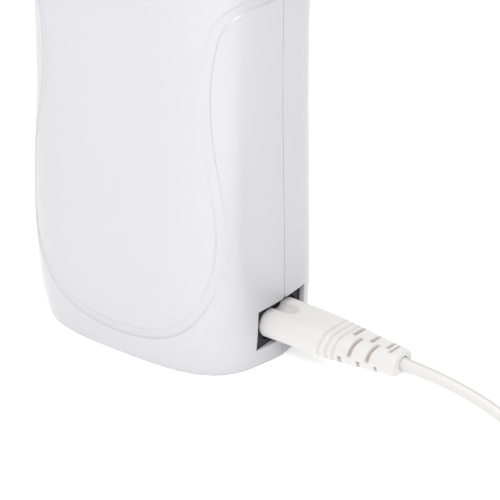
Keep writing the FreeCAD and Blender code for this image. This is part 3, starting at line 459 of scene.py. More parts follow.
class Sheet:
    """One skin of one shell as a flat pattern: s runs round the plan, and v up the wall; below
    the fold v runs on under the base towards the seam."""

    def __init__(self, side, inset, low, fold):
        self.side, self.inset, self.low, self.fold = side, inset, low, fold
        self.angles = np.linspace(-np.pi / 2, np.pi / 2, PATTERN_POINTS)
        plan = self.outline(self.angles, PATTERN_Z + 0 * self.angles, -inset)
        length = lengths_along(np.stack(plan, axis=1))
        self.end = length[-1] / 2
        self.lengths = length - self.end
        self.bottom = -UNDER_RUN

    def radii(self, z, inset=0.0):
        """Half width and depth of the plan at a level, less the sheet's inset and a further
        one, and its power."""
        w = half_width(z) - self.inset - inset
        d = half_depth(z, self.side) - self.inset - inset
        return w, d, plan_power(z, self.side)

    def outline(self, angle, z, inset):
        """A point of the plan at an angle from the middle of the face: the radius is
        (|sin/w|^p + |cos/d|^p)^(-1/p), with the plan's radii w and d and its power p. The
        front's sides are then bowed in, and the foot is flared."""
        w, d, p = self.radii(z, inset)
        across, along = np.sin(angle), np.cos(angle)
        r = (np.abs(across / w) ** p + np.abs(along / d) ** p) ** (-1 / p)
        x, away = r * across, r * along
        if self.side < 0:
            x = x - side_bow(x, away, w, z)
        return x * (1 + foot_flare(away, z) / w), SEAM_Y + self.side * away

    def fold_rows(self):
        """Levels of v across the fold, from the wall to the base."""
        return self.low + self.fold * (1 - quarter_turn(EDGE_STEPS))

    def point(self, flat):
        """Map the flat pattern to the body: up the wall, round the fold by a quarter circle, and
        along the base, where the plan is drawn in towards the seam in proportion."""
        s, v = flat[:, 0], flat[:, 1]
        top = self.low + self.fold
        turn = np.clip((top - v) / self.fold, 0, np.pi / 2)
        start = top - self.fold * np.pi / 2
        under = np.clip((start - v) / (start - self.bottom), 0, 1)
        z = np.where(v >= top, v, top - self.fold * np.sin(turn))
        angle = np.interp(s, self.lengths, self.angles)
        x, y = self.outline(angle, z, self.fold * (1 - np.cos(turn)))
        x = x * (1 - (1 - UNDER_SHARE) * under)
        y = SEAM_Y + (y - SEAM_Y) * (1 - under)
        return np.stack([x, y, z], axis=1)

    def directions(self, flat):
        """Unit directions of s and v, and the outward normal, by central differences."""
        ds = unit(self.point(flat + [SKIN_STEP, 0]) - self.point(flat - [SKIN_STEP, 0]))
        dv = unit(self.point(flat + [0, SKIN_STEP]) - self.point(flat - [0, SKIN_STEP]))
        return ds, dv, unit(np.cross(ds, dv)) * -self.side

    def seen_from_front(self, x, z):
        """Where the place (x, z) of the face, seen along Y, is in the flat pattern; the bow that
        has to be taken back from x is found in a few rounds."""
        w, d, p = self.radii(z)
        straight = x
        for _ in range(BOW_ROUNDS):
            away = d * np.maximum(1 - np.abs(straight / w) ** p, 0) ** (1 / p)
            if self.side < 0:
                straight = x + side_bow(straight, away, w, z)
        flat = np.interp(np.arctan2(straight, away), self.angles, self.lengths)
        return np.stack([flat, z + 0 * x], axis=1)

    def seen_from_right(self, away, z):
        """Where a place of the right side, seen along X, is in the flat pattern: it is given by
        its distance from the seam and its level."""
        w, d, p = self.radii(z)
        x = w * np.maximum(1 - (away / d) ** p, 0) ** (1 / p)
        return np.stack([np.interp(np.arctan2(x, away), self.angles, self.lengths), z], axis=1)


def shell_edge(sheet):
    """The edge of a shell, anticlockwise: along the base, up the right seam with the inlet's
    notch, along the top and down the left seam; and the radius that rounds each point."""
    end, low = sheet.end - SEAM_GAP, sheet.bottom + SEAM_GAP
    reach = abs(OPENING_Y[(sheet.side + 1) // 2] - SEAM_Y)
    bottom, top = OPENING_Z
    r = OPENING_CORNER
    notch = path([
        (SEAM_GAP, bottom),
        *arc((reach - r, bottom + r), r, -90, 0, EDGE_STEPS),
        *arc((reach - r, top - r), r, 0, 90, EDGE_STEPS),
        (SEAM_NOTCH, top),
        (SEAM_GAP, top + SEAM_NOTCH),
    ], EDGE_SPACING)
    fold = BASE_EDGE * (1 - quarter_turn(EDGE_STEPS))
    below = path([(-end, low), (end, low), *[(end, v) for v in fold[::-1]], (end, bottom)], EDGE_SPACING)
    fine_low = CHANNEL_END - FINE_EDGE_MARGIN
    fine_high = CHANNEL_END + CHANNEL_WIDTH + FINE_EDGE_MARGIN
    stretches = [
        (EDGE_SPACING, [(end, top + SEAM_NOTCH), (end, fine_low)]),
        (FINE_EDGE_SPACING, [(end, fine_low), (end, fine_high)]),
        (EDGE_SPACING, [(end, fine_high), (end, SHELL_HEIGHT), (-end, SHELL_HEIGHT), (-end, fine_high)]),
        (FINE_EDGE_SPACING, [(-end, fine_high), (-end, fine_low)]),
        (EDGE_SPACING, [(-end, fine_low), *[(-end, v) for v in fold], (-end, low)]),
    ]
    above = np.concatenate([path(points, spacing)[:-1] for spacing, points in stretches])
    below, above = below[:-1], above[1:]
    loop = np.concatenate([below, sheet.seen_from_right(notch[:, 0], notch[:, 1]), above])
    radius = np.full(len(loop), SEAM_EDGE)
    radius[len(below):len(below) + len(notch)] = RIM_EDGE
    return loop, radius


def hole_outline(x, low, high, radius):
    """A round hole, or a slot with round ends, clockwise in (x, z), from its left."""
    half = HOLE_POINTS // 2
    over = arc((x, high), radius, 180, 0, half)
    under = arc((x, low), radius, 0, -180, half)
    if low == high:
        return np.concatenate([over, under[1:-1]])
    sides = path([over[-1], under[0]], EDGE_SPACING)[1:-1]
    return np.concatenate([over, sides, under, path([under[-1], over[0]], EDGE_SPACING)[1:-1]])


def outward(loop):
    """Mitred offsets out of the sheet, which lies to the left of its loops: the sum of the two
    side normals over one plus their product."""
    normal = -left_of(unit(np.roll(loop, -1, axis=0) - loop))
    before = np.roll(normal, 1, axis=0)
    return (normal + before) / (1 + (normal * before).sum(1))[:, None]


def inside(points, loop):
    """Which points lie inside a closed loop, by counting the sides crossed on the way right."""
    within = np.zeros(len(points), bool)
    a, b = loop, np.roll(loop, -1, axis=0)
    for part in batches(len(points)):
        x, y = points[part, :1], points[part, 1:]
        spans = (a[:, 1] > y) != (b[:, 1] > y)
        rise = np.where(b[:, 1] == a[:, 1], 1, b[:, 1] - a[:, 1])
        cross = (b[:, 0] - a[:, 0]) * (y - a[:, 1]) / rise + a[:, 0]
        within[part] = (spans & (x < cross)).sum(1) % 2 == 1
    return within


def within_sheet(points, loops):
    """Which points lie inside the first loop and outside the others."""
    keep = inside(points, loops[0])
    for hole in loops[1:]:
        keep &= ~inside(points, hole)
    return keep


def distance_from(points, line):
    """Signed distance of points from an open line, positive to its left, and the direction in
    which it grows."""
    a, d = line[:-1], np.diff(line, axis=0)
    length = (d * d).sum(1)
    distance = np.empty(len(points))
    growth = np.empty_like(points)
    for part in batches(len(points)):
        to = points[part][:, None] - a[None]
        t = np.clip((to * d).sum(2) / length, 0, 1)
        rest = to - t[..., None] * d
        size = np.linalg.norm(rest, axis=2)
        k = size.argmin(1)
        rows = np.arange(len(part))
        left = unit(left_of(d[k]))
        distance[part] = np.sign((rest[rows, k] * left).sum(1) + TINY) * size[rows, k]
        growth[part] = left
    return distance, growth


def channel_line(sheet, spacing):
    """The channel's outer edge across the whole front, from the left seam to the right."""
    x, z = np.array(CHANNEL_EDGE).T
    right = sheet.seen_from_front(x, z)
    knee = [(right[-1, 0] + CHANNEL_KNEE[0], CHANNEL_END + CHANNEL_KNEE[1])]
    level = [(sheet.end + run, CHANNEL_END) for run in (-CHANNEL_LEVEL, 0, CHANNEL_LEVEL)]
    right = np.concatenate([right, knee, level])
    return smooth_line(np.concatenate([right[:0:-1] * [-1, 1], right]), spacing)


def channel_rows(line, limit):
    """Lines beside the channel's outer edge, as far as a limit of s."""
    left = left_of(unit(np.gradient(line, axis=0)))
    rows = [line + left * offset for offset in CHANNEL_ROWS]
    return [row[np.abs(row[:, 0]) < limit] for row in rows]


def channel_depth(distance):
    """Depth of the channel inside its outer edge: a low lip before the edge, a soft wall, a flat
    floor, and a gentler wall up to the panel."""
    lip = CHANNEL_LIP * smooth_step(1 + distance / CHANNEL_LIP_WIDTH)
    wall = (CHANNEL_DEPTH + CHANNEL_LIP) * smooth_step(distance / CHANNEL_OUTER_WALL)
    return (wall - lip) * smooth_step((CHANNEL_WIDTH - distance) / CHANNEL_INNER_WALL)


def spread(loops, fixed, spacing):
    """Points of a staggered grid inside the loops, clear of the points already there."""
    low, high = loops[0].min(0), loops[0].max(0)
    columns = np.arange(low[0], high[0], spacing)
    x, y = np.meshgrid(columns, np.arange(low[1], high[1], spacing * GRID_ROW))
    x = x + (np.arange(len(x)) % 2)[:, None] * spacing / 2
    grid = np.stack([x.ravel(), y.ravel()], axis=1)
    grid = grid[within_sheet(grid, loops)]
    clear = np.ones(len(grid), bool)
    for part in batches(len(grid)):
        away = np.linalg.norm(grid[part][:, None] - fixed[None], axis=2).min(1)
        clear[part] = away > spacing * GRID_ROOM
    return grid[clear]


def triangulate(points, edges, loops):
    """Delaunay triangles of flat points that keep the edges, without those off the sheet."""
    flat = [Vector(p) for p in points]
    made = geometry.delaunay_2d_cdt(flat, edges.tolist(), [], 0, MERGE_DISTANCE)
    source = np.array([ids[0] for ids in made[3]])
    triangles = source[np.array(made[2])]
    return triangles[within_sheet(points[triangles].mean(1), loops)]


def skin(sheet, loops, rows, spacing, inner=False, dip=None):
    """One skin of a shell, and the last ring at each loop. An edge is rounded by a quarter
    circle: at turn a a ring lies r(1 - sin a) inside its loop and r(1 - cos a) under the skin."""
    flat, drop, side_lean, up_lean, edges, rims = [], [], [], [], [], []
    count = 0
    for loop, radius in loops:
        out = outward(loop)
        radius = np.broadcast_to(radius, len(loop))
        for turn in quarter_turn(EDGE_STEPS):
            flat.append(loop - out * (radius * (1 - math.sin(turn)))[:, None])
            drop.append(radius * (1 - math.cos(turn)))
            side_lean.append(unit(out) * math.sin(turn))
            up_lean.append(np.full(len(loop), math.cos(turn)))
            ring = count + np.arange(len(loop))
            edges.append(ring_edges(ring))
            count += len(loop)
        rims.append(ring)
    for row in rows:
        flat.append(row)
        ring = count + np.arange(len(row))
        edges.append(np.stack([ring[:-1], ring[1:]], axis=1))
        count += len(row)
    fixed = np.concatenate(flat)
    bounds = [loop for loop, _ in loops]
    flat = np.concatenate([fixed, spread(bounds, fixed, spacing)])
    plain = len(flat) - sum(len(d) for d in drop)
    drop = np.concatenate([*drop, np.zeros(plain)])
    side_lean = np.concatenate([*side_lean, np.zeros((plain, 2))])
    up_lean = np.concatenate([*up_lean, np.ones(plain)])
    triangles = triangulate(flat, np.concatenate(edges), bounds)
    ds, dv, normal = sheet.directions(flat)
    if inner:
        normal = -normal
    tilted = normal
    if dip is not None:
        distance, growth = distance_from(flat, dip)
        drop = drop + channel_depth(distance)
        rise = channel_depth(distance + DEPTH_STEP) - channel_depth(distance - DEPTH_STEP)
        lean = growth * (rise / (2 * DEPTH_STEP))[:, None]
        tilted = unit(normal + ds * lean[:, :1] + dv * lean[:, 1:])
    points = sheet.point(flat) - normal * drop[:, None]
    shade = unit(ds * side_lean[:, :1] + dv * side_lean[:, 1:] + tilted * up_lean[:, None])
    if (sheet.side > 0) != inner:
        triangles = triangles[:, ::-1]
    return points, triangles, shade, rims


def bridge(rings, side):
    """Quads between rings of point numbers, from the outer skin's to the inner skin's."""
    quads = []
    for a, b in zip(rings[:-1], rings[1:]):
        quads.append(np.stack([np.roll(a, -1), a, b, np.roll(b, -1)], axis=1))
    quads = np.concatenate(quads)
    return quads if side < 0 else quads[:, ::-1]


def level_row(sheet, v):
    """A line across a sheet at one level, short of the seams."""
    reach = sheet.end - ROW_END_GAP
    s = np.linspace(-reach, reach, int(2 * reach / EDGE_SPACING))
    return np.stack([s, np.full_like(s, v)], axis=1)


def screw_rings(x, z, steps):
    """Rings round a screw's axis, one for each radius and y."""
    rings = []
    for radius, y in steps:
        ring = hole_outline(x, z, z, radius)
        rings.append(np.stack([ring[:, 0], np.full(len(ring), y), ring[:, 1]], axis=1))
    return rings


def add_shell(name, side, holes, bosses, dip, replaces):
    """A shell from its outer skin, its inner skin, and what joins them: the rims of its edge
    and its holes, and the bosses, which end in a cap where they don't go right through."""
    outer = Sheet(side, 0, 0, BASE_EDGE)
    inner = Sheet(side, WALL, BASE_WALL, INNER_FOLD)
    through = [bore for bore in bosses if bore["through"]]
    blind = [bore for bore in bosses if not bore["through"]]
    edge, radius = shell_edge(outer)
    outer_loops = [(edge, radius)]
    outer_loops += [(outer.seen_from_front(*hole.T), RIM_EDGE) for hole in holes]
    outer_loops += [(outer.seen_from_front(*bore["mouth"].T), RIM_EDGE) for bore in through]
    inner_loops = [(shell_edge(inner)[0], INNER_EDGE)]
    inner_loops += [(inner.seen_from_front(*hole.T), INNER_EDGE) for hole in holes]
    inner_loops += [(inner.seen_from_front(*bore["foot"].T), INNER_EDGE) for bore in through + blind]
    rows = [level_row(outer, v) for v in outer.fold_rows()]
    line = None
    if dip:
        line = channel_line(outer, CHANNEL_FINE_SPACING)
        rows += channel_rows(channel_line(outer, CHANNEL_SPACING), outer.end - ROW_END_GAP)
    points, triangles, shade, rims = skin(outer, outer_loops, rows, SKIN_SPACING, dip=line)
    inner_rows = [level_row(inner, v) for v in inner.fold_rows()]
    more, inner_triangles, inner_shade, inner_rims = skin(
        inner, inner_loops, inner_rows, INNER_SPACING, inner=True)
    start = len(points)
    patches = [
        (triangles, shade[triangles]),
        (inner_triangles + start, inner_shade[inner_triangles]),
    ]
    parts = [points, more]
    count = start + len(more)
    inner_rims = [ring + start for ring in inner_rims]
    plain = 1 + len(holes)
    for k in range(plain):
        patches.append((bridge([rims[k], inner_rims[k]], side), None))
    for k, bore in enumerate(through + blind):
        rings = []
        for ring in bore["rings"]:
            parts.append(ring)
            rings.append(count + np.arange(len(ring)))
            count += len(ring)
        if bore["through"]:
            rings.insert(0, rims[plain + k])
        else:
            parts.append(bore["rings"][0].mean(0, keepdims=True))
            cap = fan(rings[0], count)
            patches.append((cap if side < 0 else cap[:, ::-1], None))
            count += 1
        rings.append(inner_rims[plain + k])
        patches.append((bridge(rings, side), None))
    piece = add_piece(name, np.concatenate(parts), patches, "body", replaces)
    return piece


def add_shells():
    """The front shell with its channel, button hole and lens hole, and the rear shell with its
    window and screw holes."""
    posts, bores = [], []
    for x in (-SCREW_X, SCREW_X):
        for z in SCREW_LEVELS:
            foot = hole_outline(x, z, z, BOSS_RADIUS)
            post = [
                (PILOT_HOLE, PILOT_END_Y),
                (PILOT_HOLE, SEAM_Y - BOSS_GAP),
                (BOSS_RADIUS, SEAM_Y - BOSS_GAP),
            ]
            posts.append({"through": False, "foot": foot, "rings": screw_rings(x, z, post)})
            bore = [
                (HEAD_HOLE, HEAD_SEAT_Y),
                (SHANK_HOLE, HEAD_SEAT_Y),
                (SHANK_HOLE, SEAM_Y + BOSS_GAP),
                (BOSS_RADIUS, SEAM_Y + BOSS_GAP),
            ]
            bores.append({
                "through": True,
                "mouth": hole_outline(x, z, z, HEAD_HOLE),
                "foot": foot,
                "rings": screw_rings(x, z, bore),
            })
    front_holes = [
        hole_outline(0, BUTTON_Z, BUTTON_Z, BUTTON_HOLE),
        hole_outline(0, LENS_Z, LENS_Z, LENS_HOLE),
    ]
    low, high = WINDOW_Z
    window = hole_outline(0, low + WINDOW_HALF_WIDTH, high - WINDOW_HALF_WIDTH, WINDOW_HALF_WIDTH)
    front = add_shell("front_shell_skin", -1, front_holes, posts, True, ["front_shell"])
    rear = add_shell("rear_shell_skin", 1, [window], bores, False, ["rear_shell"])
    return front, rear


# ---- connector ---------------------------------------------------------------------------


def grip_rows():
    """Where the grip's rings lie and how far each is drawn in: a quarter of an ellipse at the
    face and at the end, and rows that are close where the grooves and slots are."""
    turn = quarter_turn(GRIP_EDGE_STEPS)
    face, end = GRIP[0][0], GRIP[-1][0]
    plain = np.arange(face + FACE_LENGTH, GROOVES_FROM, GRIP_SPACING)[1:]
    fine = np.arange(GROOVES_FROM, end - END_LENGTH, GROOVE_SPACING)
    at = [face + FACE_LENGTH * (1 - np.cos(turn)), plain, fine, end - END_LENGTH * (1 - np.sin(turn))]
    drawn_in = [FACE_ROUND * (1 - np.sin(turn)), 0 * plain, 0 * fine, END_ROUND * (1 - np.cos(turn))]
    return np.concatenate(at), np.concatenate(drawn_in)


def stadium(half_wide, half_high):
    """Points and outward normals, from the axis, at even shares of a stadium's outline: half
    circles joined by flats. Its turning angle and its centre are sums of clipped lengths."""
    share = np.arange(RING_POINTS) / RING_POINTS
    flat, quarter = half_wide - half_high, np.pi / 2 * half_high
    s = share * (4 * quarter + 4 * flat)
    turned = np.clip(s, 0, quarter) + np.clip(s - quarter - 2 * flat, 0, 2 * quarter)
    turned = turned + np.clip(s - 3 * quarter - 4 * flat, 0, quarter)
    shift = np.clip(s - 3 * quarter - 2 * flat, 0, 2 * flat) - np.clip(s - quarter, 0, 2 * flat)
    angle = turned / half_high
    normal = np.stack([np.cos(angle), np.sin(angle)], axis=-1)
    return normal * half_high[..., None] + np.stack([flat + shift, 0 * shift], axis=-1), normal


def even_shares(line):
    """Points at even shares of a closed line's length."""
    at = lengths_along(line)
    share = at[-1] * np.arange(RING_POINTS) / RING_POINTS
    return np.stack([np.interp(share, at, line[:, 0]), np.interp(share, at, line[:, 1])], axis=1)


def figure_eight(inset):
    """The nose's outline at even shares: two round lobes and the flats of the waist."""
    radius, waist, half = NOSE_RADIUS - inset, NOSE_WAIST - inset, PIN_SPACING / 2
    turn = 180 - math.degrees(math.asin(waist / radius))
    steps = 4 * EDGE_STEPS
    return even_shares(np.concatenate([
        arc((half, 0), radius, 0, turn, steps),
        arc((-half, 0), radius, 180 - turn, 180 + turn, 2 * steps),
        arc((half, 0), radius, 360 - turn, 360, steps),
    ]))


def opening_outline(inset):
    """The opening's outline from the connector's axis, drawn in by an inset, at even shares: a
    rectangle with round corners."""
    left, right = OPENING_Y[0] - INLET_Y + inset, OPENING_Y[1] - INLET_Y - inset
    low, high = OPENING_Z[0] - INLET_Z + inset, OPENING_Z[1] - INLET_Z - inset
    r = OPENING_CORNER
    return even_shares(np.concatenate([
        [(right, 0)],
        arc((right - r, high - r), r, 0, 90, EDGE_STEPS),
        arc((left + r, high - r), r, 90, 180, EDGE_STEPS),
        arc((left + r, low + r), r, 180, 270, EDGE_STEPS),
        arc((right - r, low + r), r, 270, 360, EDGE_STEPS),
        [(right, 0)],
    ]))


def past(t, edge):
    """0 below zero and 1 above it, with a smooth edge between."""
    return smooth_step(t / edge + 0.5)


def groove_depth(x, y, z):
    """Depth of the grooves and slots at places of the grip, y and z from its axis. A ring groove
    is a bell curve. A slot is a band round the grip, kept to two opposite sectors."""
    ring_x = x - RING_LEAN[0] * y - RING_LEAN[1] * z
    depth = 0 * x
    for at in RING_GROOVES:
        depth = depth + RING_DEPTH * np.exp(-((ring_x - at) / RING_HALF_WIDTH) ** 2)
    slot_x = x - SLOT_LEAN[0] * y - SLOT_LEAN[1] * z
    for at, width, sectors in SLOTS:
        band = past(width / 2 - np.abs(slot_x - at), SLOT_SIDE)
        sector = 0
        for side, y_from, up, z_from in sectors:
            reach = past(side * y - y_from, SLOT_END) * past(up * z - z_from, SLOT_END)
            sector = np.maximum(sector, reach)
        depth = np.maximum(depth, SLOT_DEPTH * band * sector)
    return depth


def valley_depth(x, y):
    """Depth of the trough between the lobes under the grip's flat: a circle's arc across it and
    at its far end, with the rim eased by a parabola."""
    away = np.hypot(y - VALLEY_SHIFT, np.maximum(x - VALLEY_END, 0))
    cut = np.sqrt(np.maximum(VALLEY_RADIUS ** 2 - away ** 2, 0)) - VALLEY_RISE
    eased = np.maximum(cut + VALLEY_RIM, 0) ** 2 / (4 * VALLEY_RIM)
    return np.where(cut > VALLEY_RIM, cut, eased)


def grip_rings():
    """The grip's rings from its face to its end, and each point's depth share, which paints shade into
    the grooves and slots.
    """
    x, drawn_in = grip_rows()
    line = smooth_line(GRIP, GRIP_SPACING)
    wide, high, drop = (np.interp(x, line[:, 0], line[:, k])[:, None] for k in (1, 2, 3))
    flat, normal = stadium(wide - drawn_in[:, None], high - drawn_in[:, None])
    y, z = flat[..., 0], flat[..., 1]
    x = x[:, None] + 0 * y
    depth = groove_depth(x, y, z)
    dip = valley_depth(x, y) * np.sign(z)
    points = np.stack([
        x,
        INLET_Y + y - normal[..., 0] * depth,
        INLET_Z - drop + z - normal[..., 1] * depth - dip,
    ], axis=-1)
    return points, depth / SLOT_DEPTH


def ring_at(x, flat, drop=0.0):
    """A flat outline set across the connector's axis."""
    place = [np.full(len(flat), x), INLET_Y + flat[:, 0], INLET_Z - drop + flat[:, 1]]
    return np.stack(place, axis=1)


def joined(rings):
    """Quads between so many of the connector's rings, whose points are numbered in order."""
    rows = np.arange(rings * RING_POINTS).reshape(rings, RING_POINTS)
    a, b = rows[:-1], rows[1:]
    quads = np.stack([a, np.roll(a, -1, axis=1), np.roll(b, -1, axis=1), b], axis=-1)
    return quads.reshape(-1, 4)


def add_connector():
    """The lead's connector: from the recess round the cord, over the grip, to the nose and the
    sockets in its tip."""
    grip, recess_shade = grip_rings()
    end, drop = GRIP[-1][0], GRIP[-1][3]
    circle = RECESS_RADIUS * arc((0, 0), 1, 0, 360, RING_POINTS)[:-1]
    rings = [ring_at(end - RECESS_DEPTH, circle, drop), ring_at(end, circle, drop), *grip[::-1]]
    first_grip = 2 * RING_POINTS
    rings += [
        ring_at(GRIP[0][0], figure_eight(0)),
        ring_at(NOSE_TIP_X + NOSE_EDGE, figure_eight(0)),
        ring_at(NOSE_TIP_X, figure_eight(NOSE_EDGE)),
    ]
    patches = [joined(len(rings))]
    count = len(rings) * RING_POINTS
    tip = count - RING_POINTS + np.arange(RING_POINTS)
    parts = [*rings, ring_at(end - RECESS_DEPTH, np.zeros((1, 2)), drop)]
    patches.append(fan(np.arange(RING_POINTS), count))
    count += 1
    flat, numbers = [figure_eight(NOSE_EDGE)], [tip]
    for side in (-1, 1):
        hole = arc((side * PIN_SPACING / 2, 0), SOCKET_RADIUS, 0, 360, HOLE_POINTS)[:-1]
        mouth, foot = count + np.arange(HOLE_POINTS), count + HOLE_POINTS + np.arange(HOLE_POINTS)
        parts += [ring_at(NOSE_TIP_X, hole), ring_at(SOCKET_END_X, hole)]
        parts.append(ring_at(SOCKET_END_X, hole.mean(0, keepdims=True)))
        patches.append(np.stack([mouth, foot, np.roll(foot, -1), np.roll(mouth, -1)], axis=1))
        patches.append(fan(foot, foot[-1] + 1))
        flat.append(hole)
        numbers.append(mouth)
        count += 2 * HOLE_POINTS + 1
    edges, start = [], 0
    for loop in flat:
        edges.append(ring_edges(start + np.arange(len(loop))))
        start += len(loop)
    triangles = triangulate(np.concatenate(flat), np.concatenate(edges), flat)
    patches.append(np.concatenate(numbers)[triangles])
    points = np.concatenate(parts)
    piece = add_piece("connector", points, [(faces, None) for faces in patches], "lead",
                      ["connector_body"], turn_out=True, sharp=GRIP_SHARP_ANGLE)
    # Each grip point's depth share, kept on the mesh as the mask of the painted shade in the grooves and
    # slots.
    shade = np.zeros(len(points))
    shade[first_grip:first_grip + recess_shade.size] = recess_shade[::-1].ravel()
    piece.data.attributes.new("recess_shade", "FLOAT", "POINT").data.foreach_set("value", shade)
    return piece


def add_inlet_plate():
    """The inlet's front plate: a flat frame with softened edges between the opening's outline
    and a stadium."""
    wide, high = PLATE_HOLE
    rings = [
        (PLATE_BACK_X, opening_outline(PLATE_GAP)),
        (PLATE_FRONT_X - PLATE_EDGE, opening_outline(PLATE_GAP)),
        (PLATE_FRONT_X, opening_outline(PLATE_GAP + PLATE_EDGE)),
    ]
    for x, grown in ((PLATE_FRONT_X, PLATE_EDGE), (PLATE_FRONT_X - PLATE_EDGE, 0), (PLATE_BACK_X, 0)):
        rings.append((x, stadium(np.array([wide + grown]), np.array([high + grown]))[0]))
    numbers = np.arange(len(rings) * RING_POINTS).reshape(len(rings), RING_POINTS)
    points = np.concatenate([ring_at(x, flat) for x, flat in rings])
    piece = add_piece("inlet_plate", points, [(bridge([*numbers, numbers[0]], 1), None)], "body",
                      turn_out=True)
    return piece


# ---- cord --------------------------------------------------------------------------------


def coil_route():
    """Points of the wound cord: round a circle, and from turn to turn one cord width in or out,
    and one up after each layer. Each change takes an eighth of a turn, and those of a layer end
    an eighth before the climb below it began, so that no two turns meet."""
    at, column, layer = [0.0], [0], [0]
    inner = COIL_COLUMNS - 1
    for n in range(COIL_LAYERS):
        inward = n % 2 == 0
        for k in range(1, COIL_COLUMNS):
            end = COIL_COLUMNS * n + k - 2 * n * TURN_SHIFT
            at += [end - TURN_SHIFT, end]
            column += [k - 1, k] if inward else [inner - k + 1, inner - k]
            layer += [n, n]
        if n < COIL_LAYERS - 1:
            end = COIL_COLUMNS * (n + 1) - (2 * n + 1) * TURN_SHIFT
            at += [end - TURN_SHIFT, end]
            column += [column[-1]] * 2
            layer += [n, n + 1]
    turns = math.ceil(at[-1])
    t = np.linspace(0, turns, turns * TURN_POINTS + 1)
    angle = 2 * np.pi * t - np.pi / 2
    radius = (COIL_OUTER - COIL_STEP * np.interp(t, at, column)) / math.cos(math.pi / TURN_POINTS)
    return np.stack([
        COIL_CENTRE[0] + radius * np.cos(angle),
        COIL_CENTRE[1] + radius * np.sin(angle),
        COIL_LOW + COIL_STEP * np.interp(t, at, layer),
    ], axis=1)


def cord_curve(name, points, radii):
    """A smooth round cord whose NURBS spline has the points as its control points. Its
    thickness is in the points' own radii, which Blender adds to the curve's box."""
    curve = bpy.data.curves.new(name, "CURVE")
    curve.dimensions = "3D"
    curve.bevel_depth = 1.0
    curve.bevel_resolution = CORD_BEVEL
    curve.use_fill_caps = True
    spline = curve.splines.new("NURBS")
    spline.points.add(len(points) - 1)
    spline.points.foreach_set("co", np.column_stack([points, np.ones(len(points))]).ravel())
    spline.points.foreach_set("radius", radii)
    spline.order_u = 3
    spline.use_endpoint_u = True
    spline.resolution_u = CORD_STEPS
    curve.resolution_u = CORD_STEPS
    cord = bpy.data.objects.new(name, curve)
    bpy.context.scene.collection.objects.link(cord)
    return cord


def add_cord():
    """The whole cord as one spline, from the connector through the coil to the mains plug."""
    route = np.concatenate([CORD_RUN, coil_route(), CORD_TAIL]) * MM
    radii = np.full(len(route), CORD_RADIUS)
    radii[:len(CORD_SWELL)] *= CORD_SWELL
    cord = cord_curve("mains_cord", route, radii)
    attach(cord, "lead")
    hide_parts("cord_run", "cord_coil", "cord_tail")
    return cord


# ---- finishes ----------------------------------------------------------------------------


class Value:
    """A number that varies over a surface: arithmetic on it adds Math nodes."""

    def __init__(self, finish, socket):
        self.finish, self.socket = finish, socket

    def math(self, operation, first, second):
        return self.finish.node("ShaderNodeMath", {"operation": operation}, {0: first, 1: second})

    def __add__(self, other):
        return self.math("ADD", self, other)

    def __mul__(self, other):
        return self.math("MULTIPLY", self, other)

    __radd__ = __add__
    __rmul__ = __mul__


class Finish:
    """A material, its shader and the nodes behind it."""

    def __init__(self, name, **sockets):
        self.material = bpy.data.materials.new(name)
        self.material.use_nodes = True
        self.tree = self.material.node_tree
        self.shader = self.tree.nodes["Principled BSDF"]
        self.place = self.node("ShaderNodeTexCoord", {}, {}, "Object")
        self.set(**sockets)

    def feed(self, socket, value):
        """Link a value to a socket, or set a constant on it."""
        if isinstance(value, Value):
            self.tree.links.new(value.socket, socket)
        else:
            socket.default_value = value

    def node(self, kind, settings, sockets, output=0):
        """Add a node: its settings first, a ramp's stops among them, and then its sockets."""
        made = self.tree.nodes.new(kind)
        for key, setting in settings.items():
            if key == "stops":
                for element, (at, colour) in zip(made.color_ramp.elements, setting):
                    element.position, element.color = at, colour
            else:
                setattr(made, key, setting)
        for key, value in sockets.items():
            self.feed(made.inputs[key], value)
        return Value(self, made.outputs[output])

    def set(self, **sockets):
        """Set the shader's sockets, named with an underscore for each space."""
        for key, value in sockets.items():
            self.feed(self.shader.inputs[key.replace("_", " ")], value)

    def stretched(self, stretch):
        """The object's coordinates, in metres, multiplied along each axis."""
        return self.node("ShaderNodeMapping", {}, {"Vector": self.place, "Scale": stretch})

    def noise(self, scale, detail=2.0, stretch=(1, 1, 1)):
        """Cloudy noise from 0 to 1, with so many cycles a metre."""
        return self.node("ShaderNodeTexNoise", {}, {
            "Vector": self.stretched(stretch),
            "Scale": scale,
            "Detail": detail,
        }, "Fac")

    def mix(self, factor, first, second):
        """One colour passing into another."""
        settings = {"data_type": "RGBA"}
        return self.node("ShaderNodeMix", settings, {0: factor, 6: first, 7: second}, 2)

    def relief(self, height, depth):
        """Bumps as deep as said, in millimetres, where the height goes from 0 to 1."""
        bump = self.node("ShaderNodeBump", {}, {"Distance": depth * MM, "Height": height})
        self.set(Normal=bump)


def tint(colour, share):
    """A colour made lighter or darker, with its alpha."""
    return (*(min(c * share, 1) for c in colour), 1)


def moulding(name, colour, rough, grain=0.006, grain_scale=1800, flow=0.012, **sockets):
    """Moulded plastic: a faint flow of tone, a fine even grain, and a gloss that varies with it."""
    finish = Finish(name, **sockets)
    tone = finish.noise(28, 3)
    fine = finish.noise(grain_scale, 2)
    cloud = finish.noise(190, 3)
    finish.set(
        Base_Color=finish.mix(tone, tint(colour, 1 - flow), tint(colour, 1 + flow)),
        Roughness=rough - 0.05 + 0.07 * cloud + 0.04 * fine,
    )
    finish.relief(fine, grain)
    return finish


def metal(name, colour, rough, stretch, scale=900, depth=0.004):
    """Metal with drawing marks: noise drawn out along one axis, in tone, gloss and relief."""
    finish = Finish(name, Metallic=1.0)
    marks = finish.noise(scale, 4, stretch)
    tarnish = finish.noise(120, 3)
    finish.set(
        Base_Color=finish.mix(tarnish, tint(colour, 0.9), tint(colour, 1.05)),
        Roughness=rough + 0.16 * marks + 0.08 * tarnish,
    )
    finish.relief(marks, depth)
    return finish


def shell_finish():
    return moulding("shell", SHELL_COLOUR, 0.34, Coat_Weight=0.12, Coat_Roughness=0.2)


